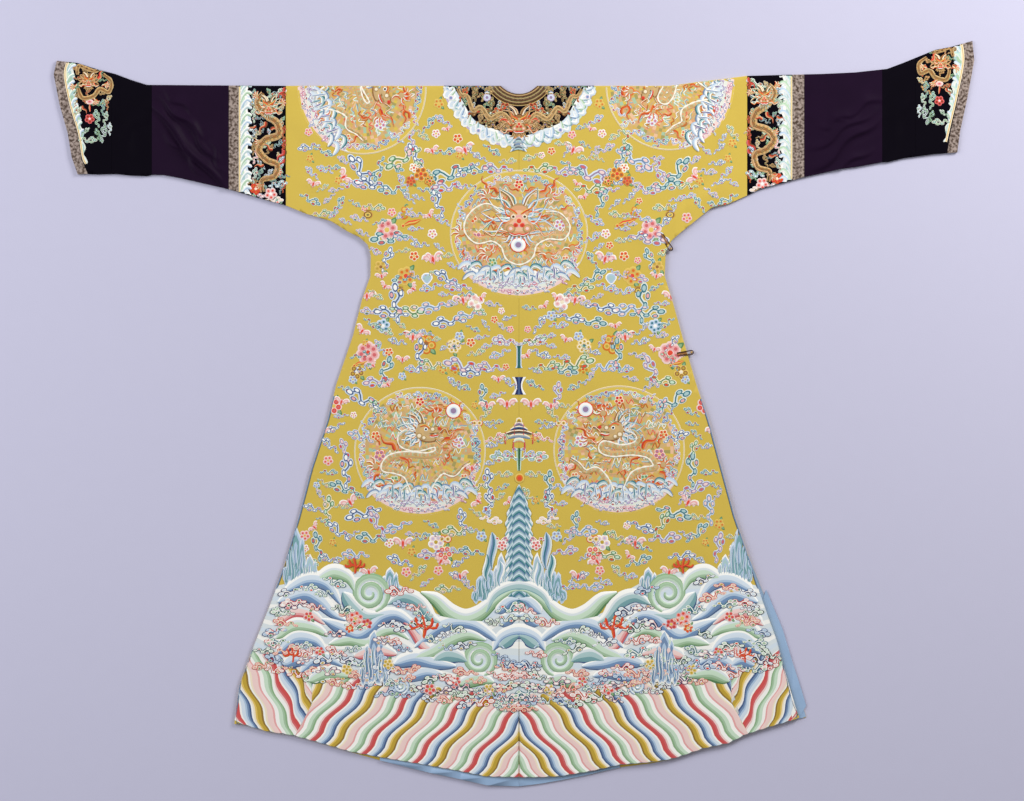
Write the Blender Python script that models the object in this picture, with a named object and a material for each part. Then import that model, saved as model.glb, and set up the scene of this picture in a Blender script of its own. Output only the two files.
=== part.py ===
"""Chinese dragon robe, laid flat on its face with its back upwards.

Each piece of cloth is drawn as it is cut, in cloth coordinates in millimetres:
u runs to the right from the centre seam, and v along the cloth from the fold at
the shoulder, positive down the back and negative down the front. wrap() folds
a piece over the shoulder and lays it on the table, and panel() builds its wall.
"""
import math

import bmesh
import bpy
from mathutils import Vector

MM = 0.001

# Cloth
WALL = 1.6              # embroidered silk with its lining
LINING_WALL = 1.0       # the lining's turned edge, where it shows
FACING_PROUD = 0.5      # the collar facing stands this far above the back
LAYER_GAP = 0.4         # between layers that lie on each other
SEAM_GAP = 0.3          # between pieces sewn edge to edge
STEP = WALL + LAYER_GAP

# Fold over the shoulder and along the top of the sleeves
FOLD_INNER_RADIUS = LAYER_GAP / 2
FOLD_OUTER_RADIUS = FOLD_INNER_RADIUS + WALL
FOLD_ARC = math.pi * (FOLD_INNER_RADIUS + WALL / 2)
FOLD_SEGMENTS = 6

# Collar: rings round the neck hole, whose middle lies on the front
NECK_MIDDLE = 34.0
NECK_RADIUS = 50.0
BINDING_RADIUS = 71.0
COLLAR_RADIUS = 154.0
ARC_STEP_DEGREES = 9.0

# Seams across the sleeves
LEFT_SEAMS = {"band": -466.0, "trim": -560.0, "extension": -580.0, "lower": -734.0, "cuff": -814.0}
RIGHT_SEAMS = {"band": 456.0, "trim": 546.0, "extension": 570.0, "lower": 726.0, "cuff": 792.0}
CUFF_TRIM_WIDTH = 20.0

# Front of the robe
UNDERLAP_EDGE = 20.0    # u of the underlap's free edge
UNDERLAP_SHORTER = 15.0
UNDERLAP_CORNER = 548.0
SIDE_FACING_DEPTH = 78.0

# How the back and the underlap rise over the overlap, as ramps in u and v
LEFT_RAMP = (-60.0, 0.0)
RIGHT_RAMP = (430.0, 330.0)
UPPER_RAMP = (20.0, 80.0)
UNDERARM_RAMP = (240.0, 300.0)
RAMP_STEPS = 3
GRID = 90.0             # largest cell of a wall

# Closures on the right side
CORD_RADIUS = 1.1
BUTTON_RADIUS = 2.5
LOOP_DROP = 1.6         # how far a loop's end, and its button, lie below its legs
CLOTH_CLEARANCE = 0.35

# Fold line. Columns: u, rise above the shoulder line.
FOLD_LINE = [
    (-940, 52), (-884, 46), (-840, 32), (-808, 24), (-776, 12), (-744, 2), (-470, 0),
    (300, 0), (352, 7), (456, 20), (608, 24), (672, 27), (736, 34), (768, 46),
    (832, 72), (864, 78), (920, 94),
]

# Underside of each sleeve from the yellow cloth out. Columns: u, depth below the shoulder line.
LEFT_UNDER = [(-466, 239), (-534, 220), (-582, 206), (-678, 184), (-710, 178), (-806, 176), (-882, 176)]
RIGHT_UNDER = [(456, 219), (482, 206), (570, 182), (642, 166), (706, 156), (770, 144), (834, 136), (876, 132)]

# Free edge of each cuff. Columns: u, v.
LEFT_CUFF = [(-924, 0), (-930, 28), (-918, 88), (-902, 142), (-894, 190), (-882, 222)]
RIGHT_CUFF = [(906, 0), (910, 40), (896, 112), (882, 172), (876, 214)]

# Underarm and side of the back. Columns: u, depth below the shoulder line.
LEFT_SIDE = [
    (-466, 239), (-424, 256), (-376, 270), (-344, 290), (-318, 303), (-302, 318), (-296, 340),
    (-297, 380), (-314, 428), (-332, 500), (-365, 596), (-382, 668), (-414, 764), (-439, 860),
    (-468, 956), (-494, 1028), (-532, 1124), (-558, 1196), (-569, 1275),
]
RIGHT_SIDE = [
    (456, 219), (418, 236), (386, 243), (352, 270), (322, 294), (304, 310), (293, 332),
    (291, 380), (306, 428), (326, 500), (354, 596), (378, 668), (404, 764), (430, 860),
    (450, 918), (486, 1028), (515, 1108), (532, 1172), (546, 1228), (560, 1262),
]

# Hem of the back. Columns: u, depth below the shoulder line.
HEM = [
    (-569, 1275), (-550, 1277), (-502, 1291), (-454, 1298), (-406, 1311), (-342, 1330),
    (-278, 1342), (-178, 1359), (-118, 1370), (-64, 1381), (0, 1382), (42, 1382), (82, 1380),
    (142, 1370), (202, 1357), (262, 1352), (320, 1341), (370, 1324), (418, 1314), (450, 1298),
    (498, 1282), (546, 1268), (560, 1262),
]

# How far the front shows past the back. Columns: u, extra depth; then depth, extra width.
HEM_PEEK = [(-342, 0), (-278, 6), (-178, 14), (-64, 17), (0, 18), (82, 8), (142, 6), (202, 5), (320, 0)]
VENT_PEEK = [(918, 0), (1028, 8), (1108, 12), (1172, 14), (1228, 18), (1262, 14)]

# Overlap's edge from the neck to the right underarm. Columns: u, v.
OVERLAP_EDGE = [(0, -105), (45, -118), (95, -150), (140, -194), (185, -238), (235, -284), (293, -332)]

# Closures. Columns: name, u and depth of the loop's root, then of its button.
CLOSURES = [
    ("upper", 285.0, 298.0, 303.0, 326.0),
    ("lower", 316.0, 537.0, 344.5, 533.0),
]

SILK_YELLOW = (0.62, 0.42, 0.05)
SATIN_BLACK = (0.012, 0.012, 0.028)
SATIN_PURPLE = (0.035, 0.012, 0.045)
BROCADE = (0.20, 0.13, 0.07)
LINING_BLUE = (0.30, 0.48, 0.68)
CORD_BROWN = (0.05, 0.025, 0.01)
GILT = (0.55, 0.36, 0.10)


def interpolate(rows, x):
    """Read the second column of a table at x, along straight lines between its rows."""
    rows = sorted(rows)
    for (x0, y0), (x1, y1) in zip(rows, rows[1:]):
        if x0 <= x <= x1:
            return y0 + (y1 - y0) * (x - x0) / (x1 - x0)
    return rows[0][1] if x < rows[0][0] else rows[-1][1]


def ramp(value, ends):
    """Rise from 0 at the first end to 1 at the second."""
    share = (value - ends[0]) / (ends[1] - ends[0])
    return min(1.0, max(0.0, share))


def fold_rise(u):
    return interpolate(FOLD_LINE, u)


def overlap_lift(u, depth):
    """Height that the overlap adds under the back and the underlap."""
    off_the_sleeve = max(ramp(u, RIGHT_RAMP), ramp(depth, UNDERARM_RAMP))
    return STEP * ramp(u, LEFT_RAMP) * ramp(depth, UPPER_RAMP) * off_the_sleeve


def wrap(u, v, out, on_overlap=False):
    """Place a point of the cut cloth, out from its inner face, on the folded robe."""
    crest = fold_rise(u) - FOLD_OUTER_RADIUS
    half_arc = FOLD_ARC / 2
    if abs(v) <= half_arc:
        angle = math.pi / 2 * v / half_arc
        radius = FOLD_INNER_RADIUS + out
        return Vector((u, crest + radius * math.cos(angle),
                       WALL + LAYER_GAP / 2 + radius * math.sin(angle)))
    y = crest - (abs(v) - half_arc)
    lift = overlap_lift(u, abs(v))
    if v > 0:
        return Vector((u, y, STEP + lift + out))
    return Vector((u, y, WALL + (lift if on_overlap else 0.0) - out))


def material(name, colour, roughness, metallic=0.0):
    made = bpy.data.materials.new(name)
    made.use_nodes = True
    shader = made.node_tree.nodes["Principled BSDF"]
    shader.inputs["Base Color"].default_value = (*colour, 1.0)
    shader.inputs["Roughness"].default_value = roughness
    shader.inputs["Metallic"].default_value = metallic
    return made


def steps_between(start, end, count):
    return [start + (end - start) * index / count for index in range(count + 1)]


def cut_lines(outline):
    """Lines of u and of v along which a piece is divided, so that it bends where it should."""
    low_u = min(u for u, v in outline)
    high_u = max(u for u, v in outline)
    low_v = min(v for u, v in outline)
    high_v = max(v for u, v in outline)
    across = [u for u, rise in FOLD_LINE]
    across += steps_between(*LEFT_RAMP, RAMP_STEPS) + steps_between(*RIGHT_RAMP, RAMP_STEPS)
    across += [GRID * index for index in range(-6, 7)]
    along = steps_between(-FOLD_ARC / 2, FOLD_ARC / 2, FOLD_SEGMENTS)
    for depth in steps_between(*UPPER_RAMP, RAMP_STEPS) + steps_between(*UNDERARM_RAMP, RAMP_STEPS):
        along += [depth, -depth]
    for index in range(2, 16):
        along += [GRID * index, -GRID * index]
    across = [u for u in sorted(set(across)) if low_u + 1 < u < high_u - 1]
    along = [v for v in sorted(set(along)) if low_v + 0.1 < v < high_v - 0.1]
    return across, along


def link(name, mesh, looks, robe):
    mesh.materials.append(looks)
    made = bpy.data.objects.new(name, mesh)
    bpy.context.scene.collection.objects.link(made)
    made.parent = robe
    return made


def panel(name, outline, looks, robe, on_overlap=False, wall=WALL, proud=0.0, height=0.0):
    """Build one piece of cloth, from its outline as cut, as a closed wall."""
    flat = bmesh.new()
    flat.faces.new([flat.verts.new((u, v, 0.0)) for u, v in outline])
    across, along = cut_lines(outline)
    for normal, places in (((1, 0, 0), across), ((0, 1, 0), along)):
        for place in places:
            everything = flat.verts[:] + flat.edges[:] + flat.faces[:]
            bmesh.ops.bisect_plane(flat, geom=everything, dist=0.001,
                                   plane_co=Vector(normal) * place, plane_no=normal)
    bmesh.ops.triangulate(flat, faces=flat.faces[:])
    wall_mesh = bmesh.new()
    faces = {}
    for vert in flat.verts:
        u, v = vert.co.x, vert.co.y
        out = wall + proud * ramp(v, (-FOLD_ARC / 2, FOLD_ARC / 2))
        inner = wrap(u, v, height, on_overlap) * MM
        outer = wrap(u, v, height + out, on_overlap) * MM
        faces[vert] = (wall_mesh.verts.new(inner), wall_mesh.verts.new(outer))
    for face in flat.faces:
        wall_mesh.faces.new([faces[vert][0] for vert in face.verts])
        wall_mesh.faces.new([faces[vert][1] for vert in reversed(face.verts)])
    for edge in flat.edges:
        if len(edge.link_faces) == 1:
            first, second = edge.verts
            wall_mesh.faces.new([faces[first][0], faces[second][0], faces[second][1], faces[first][1]])
    bmesh.ops.recalc_face_normals(wall_mesh, faces=wall_mesh.faces[:])
    mesh = bpy.data.meshes.new(name)
    wall_mesh.to_mesh(mesh)
    wall_mesh.free()
    flat.free()
    return link(name, mesh, looks, robe)


def from_depth(rows, extra=0.0):
    """Turn rows of u and depth below the shoulder line into rows of u and v."""
    return [(u, fold_rise(u) + depth + extra) for u, depth in rows]


def mirrored(points):
    """The same points down the front, in the other order."""
    return [(u, -v) for u, v in reversed(points)]


def ring_point(radius, degrees):
    """A point round the neck, 0 degrees at the middle of the back and 180 at the front."""
    angle = math.radians(degrees)
    return (radius * math.sin(angle), -NECK_MIDDLE + radius * math.cos(angle))


def ring_arc(radius, side, front_edge):
    """Arc round the neck from the centre back to front_edge on the front, on one side."""
    first = math.degrees(math.asin(SEAM_GAP / 2 / radius))
    last = 180 - math.degrees(math.asin(front_edge / radius))
    count = math.ceil((last - first) / ARC_STEP_DEGREES)
    return [ring_point(radius, side * degrees) for degrees in steps_between(first, last, count)]


def between(rows, low, high):
    """A table's rows from low to high, with a row at each end."""
    inside = [row for row in sorted(rows) if low + 1 < row[0] < high - 1]
    return [(low, interpolate(rows, low))] + inside + [(high, interpolate(rows, high))]


def side_of(rows, side_gap=0.0):
    return [(u + side_gap, depth) for u, depth in rows]


def front_hem_row(row):
    return (row[0], row[1] + interpolate(HEM_PEEK, row[0]))


def build_lengths(robe, silk):
    """Two lengths of silk, each over the shoulder, with the underlap on the right one."""
    gap = SEAM_GAP / 2
    left_side = [(LEFT_SEAMS["band"] + gap, LEFT_SIDE[0][1])] + LEFT_SIDE[1:]
    left_hem = between(HEM, -569, -gap)[1:]
    back = from_depth(left_side) + from_depth(left_hem)
    front = from_depth(left_side) + from_depth([front_hem_row(row) for row in left_hem])
    neck = ring_arc(COLLAR_RADIUS + gap, -1, gap)
    panel("left_length", back + neck + mirrored(front), silk, robe)

    right_side = [(RIGHT_SEAMS["band"] - gap, RIGHT_SIDE[0][1])] + RIGHT_SIDE[1:]
    back = from_depth(right_side) + from_depth(list(reversed(between(HEM, gap, 560)[:-1])))
    neck = ring_arc(COLLAR_RADIUS + gap, 1, UNDERLAP_EDGE)
    under_hem = list(reversed(between(HEM, UNDERLAP_EDGE, UNDERLAP_CORNER)))
    under_side = right_side[:-1]
    under = from_depth(under_side) + from_depth(under_hem, -UNDERLAP_SHORTER)
    panel("right_length", back + neck + mirrored(under), silk, robe, on_overlap=True)


def build_overlap(robe, silk, satin):
    """The overlap across the front to the right side, with its facing along the edge."""
    gap = SEAM_GAP / 2
    edge = [(u + gap if u == 0 else u, v) for u, v in OVERLAP_EDGE]
    lower = [(u, v - SIDE_FACING_DEPTH * (1.06 if u <= gap else 1.0)) for u, v in edge]
    lower[-1] = (300.0, lower[-1][1])
    panel("overlap_facing", edge + list(reversed(lower)), satin, robe)

    top = [(u, v - SEAM_GAP) for u, v in lower]
    side = [row for row in RIGHT_SIDE if row[1] > -top[-1][1] + 5]
    side = [(u + interpolate(VENT_PEEK, depth), depth) for u, depth in side]
    hem = [front_hem_row(row) for row in reversed(between(HEM, gap, 546))]
    outline = top + [(u, -v) for u, v in from_depth(side) + from_depth(hem)]
    panel("overlap", outline, silk, robe)


def build_collar(robe, satin, brocade):
    """Collar facing and neck binding, each in two halves joined at the centre back."""
    gap = SEAM_GAP / 2
    rings = (("neck_binding", NECK_RADIUS, BINDING_RADIUS - SEAM_GAP, brocade),
             ("collar_facing", BINDING_RADIUS, COLLAR_RADIUS - gap, satin))
    for name, inner, outer, looks in rings:
        for side_name, side, front_edge in (("left", -1, gap), ("right", 1, UNDERLAP_EDGE)):
            outline = ring_arc(outer, side, front_edge) + list(reversed(ring_arc(inner, side, front_edge)))
            panel(f"{name}_{side_name}", outline, looks, robe, on_overlap=side > 0, proud=FACING_PROUD)


def sleeve_piece(name, under, start, end, looks, robe):
    """A stretch of sleeve between two seams, folded along its top."""
    gap = SEAM_GAP / 2
    low, high = min(start, end) + gap, max(start, end) - gap
    back = from_depth(between(under, low, high))
    panel(name, back + mirrored(back), looks, robe)


def build_sleeves(robe, looks):
    """Band, trim, extension, lower sleeve, cuff and cuff trim on each side."""
    gap = SEAM_GAP / 2
    for side_name, side, seams, under, edge in (
            ("left", -1, LEFT_SEAMS, LEFT_UNDER, LEFT_CUFF),
            ("right", 1, RIGHT_SEAMS, RIGHT_UNDER, RIGHT_CUFF)):
        names = list(seams)
        for name, following in zip(names, names[1:]):
            sleeve_piece(f"sleeve_{name}_{side_name}", under, seams[name], seams[following],
                         looks[name], robe)
        trim_line = [(u - side * CUFF_TRIM_WIDTH, v) for u, v in edge]
        seam = seams["cuff"] + side * gap
        inner_end = trim_line[-1][0] - side * SEAM_GAP
        below = from_depth(between(under, min(seam, inner_end), max(seam, inner_end)))
        if side < 0:
            below.reverse()
        free = [(u - side * SEAM_GAP, v) for u, v in reversed(trim_line[:-1])]
        panel(f"cuff_{side_name}", below + free + mirrored(below + free[:-1]), looks["cuff"], robe)
        trim_line[-1] = (trim_line[-1][0], from_depth([(trim_line[-1][0], interpolate(under, trim_line[-1][0]))])[0][1])
        outline = (list(reversed(trim_line[1:])) + [trim_line[0]] + mirrored(list(reversed(trim_line[1:])))
                   + [(u, -v) for u, v in reversed(edge[1:])] + [edge[0]] + edge[1:])
        panel(f"cuff_trim_{side_name}", outline, looks["cuff_trim"], robe)


def build_lining(robe, blue):
    """The lining of the front, where it shows past the back at the hem and the right vent."""
    gap = SEAM_GAP / 2
    for side_name, low, high in (("left", -278.0, -gap), ("right", gap, 202.0)):
        rows = between(HEM, low, high)
        inner = [(u, -v - SEAM_GAP) for u, v in from_depth(rows)]
        outer = [(u, -v) for u, v in from_depth([front_hem_row(row) for row in rows])]
        panel(f"lining_hem_{side_name}", inner + list(reversed(outer)), blue, robe,
              wall=-LINING_WALL, height=-LAYER_GAP)
    rows = [row for row in RIGHT_SIDE if row[1] > 940]
    inner = [(u + SEAM_GAP, -v) for u, v in from_depth(rows)]
    outer = [(u + interpolate(VENT_PEEK, depth), -depth) for u, depth in rows]
    panel("lining_vent", inner + list(reversed(outer)), blue, robe, wall=-LINING_WALL, height=-LAYER_GAP)


def build_closures(robe, cord_looks, button_looks):
    """Two loops on the back at the right side, each round its ball button."""
    cord_height = 2 * STEP + WALL + CLOTH_CLEARANCE + CORD_RADIUS
    loop_radius = BUTTON_RADIUS + CLOTH_CLEARANCE + CORD_RADIUS
    for name, root_u, root_depth, button_u, button_depth in CLOSURES:
        root = Vector((root_u, -root_depth, 0.0))
        middle = Vector((button_u, -button_depth, 0.0))
        ahead = (middle - root).normalized()
        beside = Vector((-ahead.y, ahead.x, 0.0))
        leg = []
        reach = (middle - root).length
        for share in (0.0, 0.35, 0.7, 0.88):
            spread = loop_radius * (0.75 + 0.25 * share)
            leg.append(root + ahead * reach * share + beside * spread + Vector((0, 0, cord_height)))
        bend = []
        for degrees in range(90, -91, -30):
            angle = math.radians(degrees)
            offset = ahead * math.cos(angle) + beside * math.sin(angle)
            height = cord_height - LOOP_DROP * max(0.0, math.cos(angle))
            bend.append(middle + offset * loop_radius + Vector((0, 0, height)))
        other = [point - 2 * beside * (point - root).dot(beside) for point in reversed(leg)]
        curve = bpy.data.curves.new(f"closure_loop_{name}", "CURVE")
        curve.dimensions = "3D"
        curve.bevel_depth = CORD_RADIUS * MM
        curve.bevel_resolution = 2
        curve.use_fill_caps = True
        route = leg + bend + other
        spline = curve.splines.new("POLY")
        spline.points.add(len(route) - 1)
        for point, place in zip(spline.points, route):
            point.co = (*(place * MM), 1.0)
        link(f"closure_loop_{name}", curve, cord_looks, robe)

        ball = bmesh.new()
        bmesh.ops.create_uvsphere(ball, u_segments=16, v_segments=10, radius=BUTTON_RADIUS * MM)
        bmesh.ops.translate(ball, verts=ball.verts[:],
                            vec=(middle + Vector((0, 0, cord_height - LOOP_DROP))) * MM)
        mesh = bpy.data.meshes.new(f"closure_button_{name}")
        ball.to_mesh(mesh)
        ball.free()
        mesh.shade_smooth()
        link(f"closure_button_{name}", mesh, button_looks, robe)


def build():
    for existing in list(bpy.data.objects):
        bpy.data.objects.remove(existing)
    robe = bpy.data.objects.new("robe", None)
    bpy.context.scene.collection.objects.link(robe)
    mid_u = (min(u for u, v in LEFT_CUFF) + max(u for u, v in RIGHT_CUFF)) / 2
    top = interpolate(FOLD_LINE, RIGHT_CUFF[0][0])
    bottom = -max(front_hem_row(row)[1] for row in HEM)
    robe.location = Vector((-mid_u, -(top + bottom) / 2, 0.0)) * MM

    silk = material("yellow_silk", SILK_YELLOW, 0.5)
    satin = material("black_satin", SATIN_BLACK, 0.4)
    purple = material("purple_satin", SATIN_PURPLE, 0.35)
    brocade = material("brocade", BROCADE, 0.45)
    blue = material("blue_lining", LINING_BLUE, 0.5)
    cord = material("brown_cord", CORD_BROWN, 0.7)
    gilt = material("gilt_brass", GILT, 0.35, metallic=1.0)

    build_lengths(robe, silk)
    build_overlap(robe, silk, satin)
    build_collar(robe, satin, brocade)
    build_sleeves(robe, {"band": satin, "trim": brocade, "extension": purple, "lower": satin,
                         "cuff": satin, "cuff_trim": brocade})
    build_lining(robe, blue)
    build_closures(robe, cord, gilt)


build()
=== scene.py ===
import math
import random

import bmesh
import bpy
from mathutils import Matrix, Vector
from mathutils.bvhtree import BVHTree


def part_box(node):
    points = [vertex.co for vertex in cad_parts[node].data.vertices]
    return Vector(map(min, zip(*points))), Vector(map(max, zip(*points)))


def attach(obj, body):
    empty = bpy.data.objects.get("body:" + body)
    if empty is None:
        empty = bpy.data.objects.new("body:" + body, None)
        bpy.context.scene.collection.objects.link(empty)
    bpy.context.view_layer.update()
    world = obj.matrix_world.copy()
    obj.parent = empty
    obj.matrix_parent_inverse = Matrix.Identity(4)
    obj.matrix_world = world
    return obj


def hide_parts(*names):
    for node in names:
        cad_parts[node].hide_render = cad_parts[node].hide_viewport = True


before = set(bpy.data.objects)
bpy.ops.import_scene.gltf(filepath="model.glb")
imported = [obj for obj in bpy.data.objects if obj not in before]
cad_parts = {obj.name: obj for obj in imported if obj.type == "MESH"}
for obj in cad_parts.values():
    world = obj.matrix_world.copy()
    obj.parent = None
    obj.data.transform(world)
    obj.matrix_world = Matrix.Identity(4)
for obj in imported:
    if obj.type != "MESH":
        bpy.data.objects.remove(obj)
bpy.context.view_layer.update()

# The camera looks straight down on the robe as it lies, under soft lights that are
# strongest from the upper right. The robe is placed by its centre seam and the line
# of its shoulders: motifs are given in mm to the right of the one and below the other.
SEAM_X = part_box("left_length")[1][0] + 0.00015
SHOULDER_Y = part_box("left_length")[1][1]
VIEW_ACROSS, VIEW_DOWN = -14.0, 629.0
CAMERA_HEIGHT, FRAME_WIDTH = 6.0, 2.048
MM = 0.001              # metres


def on_robe(across, down, height):
    """A place in the frame, from mm right of the seam and below the shoulders and metres up."""
    return SEAM_X + across * MM, SHOULDER_Y - down * MM, height


camera_data = bpy.data.cameras.new("view_from_above")
camera_data.sensor_width = 36.0
camera_data.lens = 36.0 * CAMERA_HEIGHT / FRAME_WIDTH
camera = bpy.data.objects.new("view_from_above", camera_data)
camera.location = on_robe(VIEW_ACROSS, VIEW_DOWN, CAMERA_HEIGHT)
bpy.context.scene.collection.objects.link(camera)
bpy.context.scene.camera = camera
bpy.context.scene.view_settings.view_transform = "Standard"

for name, place, size, power, colour in (("key_light", (2.5, 2.4, 1.75), 1.3, 126.0, (1.0, 0.985, 0.955)),
                                         ("fill_light", (-3.0, 1.2, 2.4), 3.0, 103.0, (0.97, 0.98, 1.0))):
    lamp = bpy.data.lights.new(name, "AREA")
    lamp.size, lamp.energy, lamp.color = size, power, colour
    light = bpy.data.objects.new(name, lamp)
    light.location = place
    light.rotation_euler = Vector((-place[0], -place[1], -place[2])).to_track_quat("-Z", "Y").to_euler()
    bpy.context.scene.collection.objects.link(light)
air = bpy.data.worlds.new("studio_air")
air.use_nodes = True
air.node_tree.nodes["Background"].inputs["Color"].default_value = (0.97, 0.975, 1.0, 1.0)
air.node_tree.nodes["Background"].inputs["Strength"].default_value = 0.33
bpy.context.scene.world = air

# Body: two lengths of golden yellow silk, folded over the shoulders and sewn together
# at the centre, with the overlap across the front. Every cloth is a thin shell on its
# solid's own form, cut into a net, and what lies on top is lifted into soft creases.
BACK_STEP = 2.0         # mm from the face of the front up to the back's inner face
WALL = 1.6              # mm
CREASES = (             # right and down of each end, half width and height, in mm
    (-712, 66, -604, 188, 4.6, 9.0), (-704, 40, -640, 92, 5, 5.5), (-676, 66, -612, 142, 5, 4.6),
    (-704, 18, -656, 52, 5, 2.6), (-696, 108, -636, 172, 6, 3.0), (-612, 122, -592, 180, 5, 3.0),
    (604, 158, 704, 76, 7, 4.6), (604, 118, 694, 60, 6, 3.4), (640, 66, 712, 30, 6, 2.8),
    (616, 182, 690, 136, 5, 3.2), (-796, 40, -752, 150, 9, 1.8), (742, 120, 786, 20, 8, 1.7),
    (-790, 100, -744, 60, 7, 1.3), (610, 84, 650, 66, 5, 1.4),
    (-450, 60, -380, 246, 17, 1.3), (-418, 190, -330, 300, 15, 1.5), (-360, 215, -300, 330, 12, 1.4),
    (440, 60, 372, 232, 17, 1.3), (400, 180, 322, 292, 14, 1.5), (350, 210, 296, 326, 12, 1.3),
    (-286, 350, -246, 520, 18, 1.2), (284, 350, 238, 540, 18, 1.1), (-210, 210, -262, 330, 18, 1.0),
    (212, 220, 258, 340, 18, 1.0), (-120, 560, -150, 820, 24, 0.9), (128, 540, 166, 840, 24, 0.9),
    (-380, 900, -440, 1180, 24, 1.0), (372, 880, 444, 1190, 24, 1.0), (-250, 1010, -276, 1290, 22, 0.8),
    (250, 1000, 286, 1280, 22, 0.8), (-70, 1080, -84, 1350, 20, 0.7), (84, 1090, 96, 1350, 20, 0.7),
)


def read_off(place):
    """How far right of the seam and below the shoulders a place in the frame is, in mm."""
    return (place.x - SEAM_X) * 1000, (SHOULDER_Y - place.y) * 1000


def ramp(value, low, high):
    """From 0 at low to 1 at high, and level beyond both."""
    return min(1.0, max(0.0, (value - low) / (high - low)))


def lift_over_overlap(across, down):
    """How far the overlap raises what lies on it, in mm, as on the solids."""
    off_sleeve = max(ramp(across, 430, 330), ramp(down, 240, 300))
    return BACK_STEP * ramp(across, -60, 0) * ramp(down, 20, 80) * off_sleeve


def crease_height(across, down):
    """Height of the uppermost layer above where it would lie quite flat, in mm."""
    height = 1.1 + 0.32 * math.sin(across / 61 + math.sin(down / 97)) * math.sin(down / 74 + across / 210)
    height += 0.15 * math.sin(across / 27 + down / 39) * math.sin(down / 31)
    for x0, y0, x1, y1, half, rise in CREASES:
        run_x, run_y = x1 - x0, y1 - y0
        length = math.hypot(run_x, run_y)
        along = ((across - x0) * run_x + (down - y0) * run_y) / length ** 2
        if -0.3 < along < 1.3:
            wander = half * 0.9 * math.sin(along * 7.0 + x0)
            aside = ((across - x0) * run_y - (down - y0) * run_x) / length + wander
            if abs(aside) < 4 * half:
                ends = ramp(along, -0.3, 0.2) * ramp(along, 1.3, 0.8)
                height += rise * ends * math.exp(-(aside / half / (1.9 if aside > 0 else 0.62)) ** 2)
                height -= 0.3 * rise * ends * math.exp(-((aside + 1.5 * half) / half) ** 2)
    return max(0.1, height)


def shader_group(name, inputs, outputs, kinds):
    """A shader node group with named sockets: itself, its two ends and a new node of each kind."""
    group = bpy.data.node_groups.new(name, "ShaderNodeTree")
    for way, labels in (("INPUT", inputs), ("OUTPUT", outputs)):
        for label, kind in labels:
            group.interface.new_socket(label, in_out=way, socket_type=f"NodeSocket{kind}")
    return (group, group.nodes.new("NodeGroupInput").outputs, group.nodes.new("NodeGroupOutput").inputs,
            *(group.nodes.new(f"ShaderNode{kind}") for kind in kinds))


# Cloth: two close tones in soft patches, under a fine raised weave along the cloth.
weave_group, given, taken_out, places, patches, centred, sharper, tones, stretch, ribs, bump = shader_group(
    "weave", (("Light", "Color"), ("Dark", "Color"), ("Patches", "Float"), ("Contrast", "Float"),
              ("Ribs", "Vector")), (("Colour", "Color"), ("Normal", "Vector")),
    ("TexCoord", "TexNoise", "Math", "Math", "Mix", "VectorMath", "TexNoise", "Bump"))
patches.inputs["Detail"].default_value = 4.0
centred.operation, sharper.operation, stretch.operation = "SUBTRACT", "MULTIPLY_ADD", "MULTIPLY"
tones.data_type = "RGBA"
centred.inputs[1].default_value = sharper.inputs[2].default_value = 0.5
sharper.use_clamp = True
ribs.inputs["Scale"].default_value = 1.0
bump.inputs["Strength"].default_value = 0.25
bump.inputs["Distance"].default_value = 0.0006
for start, end in (
        (places.outputs["Object"], patches.inputs["Vector"]), (given["Patches"], patches.inputs["Scale"]),
        (patches.outputs["Fac"], centred.inputs[0]), (centred.outputs[0], sharper.inputs[0]),
        (given["Contrast"], sharper.inputs[1]), (sharper.outputs[0], tones.inputs["Factor"]),
        (given["Light"], tones.inputs[6]), (given["Dark"], tones.inputs[7]),
        (tones.outputs[2], taken_out["Colour"]), (places.outputs["Object"], stretch.inputs[0]),
        (given["Ribs"], stretch.inputs[1]), (stretch.outputs[0], ribs.inputs["Vector"]),
        (ribs.outputs["Fac"], bump.inputs["Height"]), (bump.outputs["Normal"], taken_out["Normal"])):
    weave_group.links.new(start, end)


def woven(name, light, dark, rough, sheen, weave, specular=0.3, contrast=1.0, metallic=0.0):
    """A material of two close tones and a fine raised weave; weave is its ribs each way and its patches."""
    cloth = bpy.data.materials.new(name)
    cloth.use_nodes = True
    shader = cloth.node_tree.nodes["Principled BSDF"]
    for socket, value in (("Roughness", rough), ("Sheen Weight", sheen), ("Specular IOR Level", specular),
                          ("Metallic", metallic)):
        shader.inputs[socket].default_value = value
    weaving = cloth.node_tree.nodes.new("ShaderNodeGroup")
    weaving.node_tree = weave_group
    for socket, value in (("Light", (*light, 1.0)), ("Dark", (*dark, 1.0)), ("Patches", weave[2]),
                          ("Contrast", contrast), ("Ribs", (weave[0], weave[1], 1.0))):
        weaving.inputs[socket].default_value = value
    cloth.node_tree.links.new(weaving.outputs["Colour"], shader.inputs["Base Color"])
    cloth.node_tree.links.new(weaving.outputs["Normal"], shader.inputs["Normal"])
    return cloth


# The surface it lies on: a wide board covered in matt pale lilac paper, which is scenery.
bpy.ops.object.select_all(action="DESELECT")
bpy.ops.mesh.primitive_plane_add(size=8.0, location=(0.0, 0.0, 0.0))
board = bpy.context.object
board.name = "lilac_board"
board.data.materials.append(
    woven("lilac_paper", (0.537, 0.528, 0.672), (0.526, 0.517, 0.658), 0.95, 0.0, (420, 420, 30), 0.2))

shells = {}


def copy_of(node, name):
    """A copy of a node's solid to be dressed, and its form with the doubles merged."""
    solid = bpy.data.objects[node]
    piece = solid.copy()
    piece.data = solid.data.copy()
    piece.name = name
    bpy.context.scene.collection.objects.link(piece)
    form = bmesh.new()
    form.from_mesh(piece.data)
    bmesh.ops.remove_doubles(form, verts=form.verts[:], dist=1e-6)
    return piece, form


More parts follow.
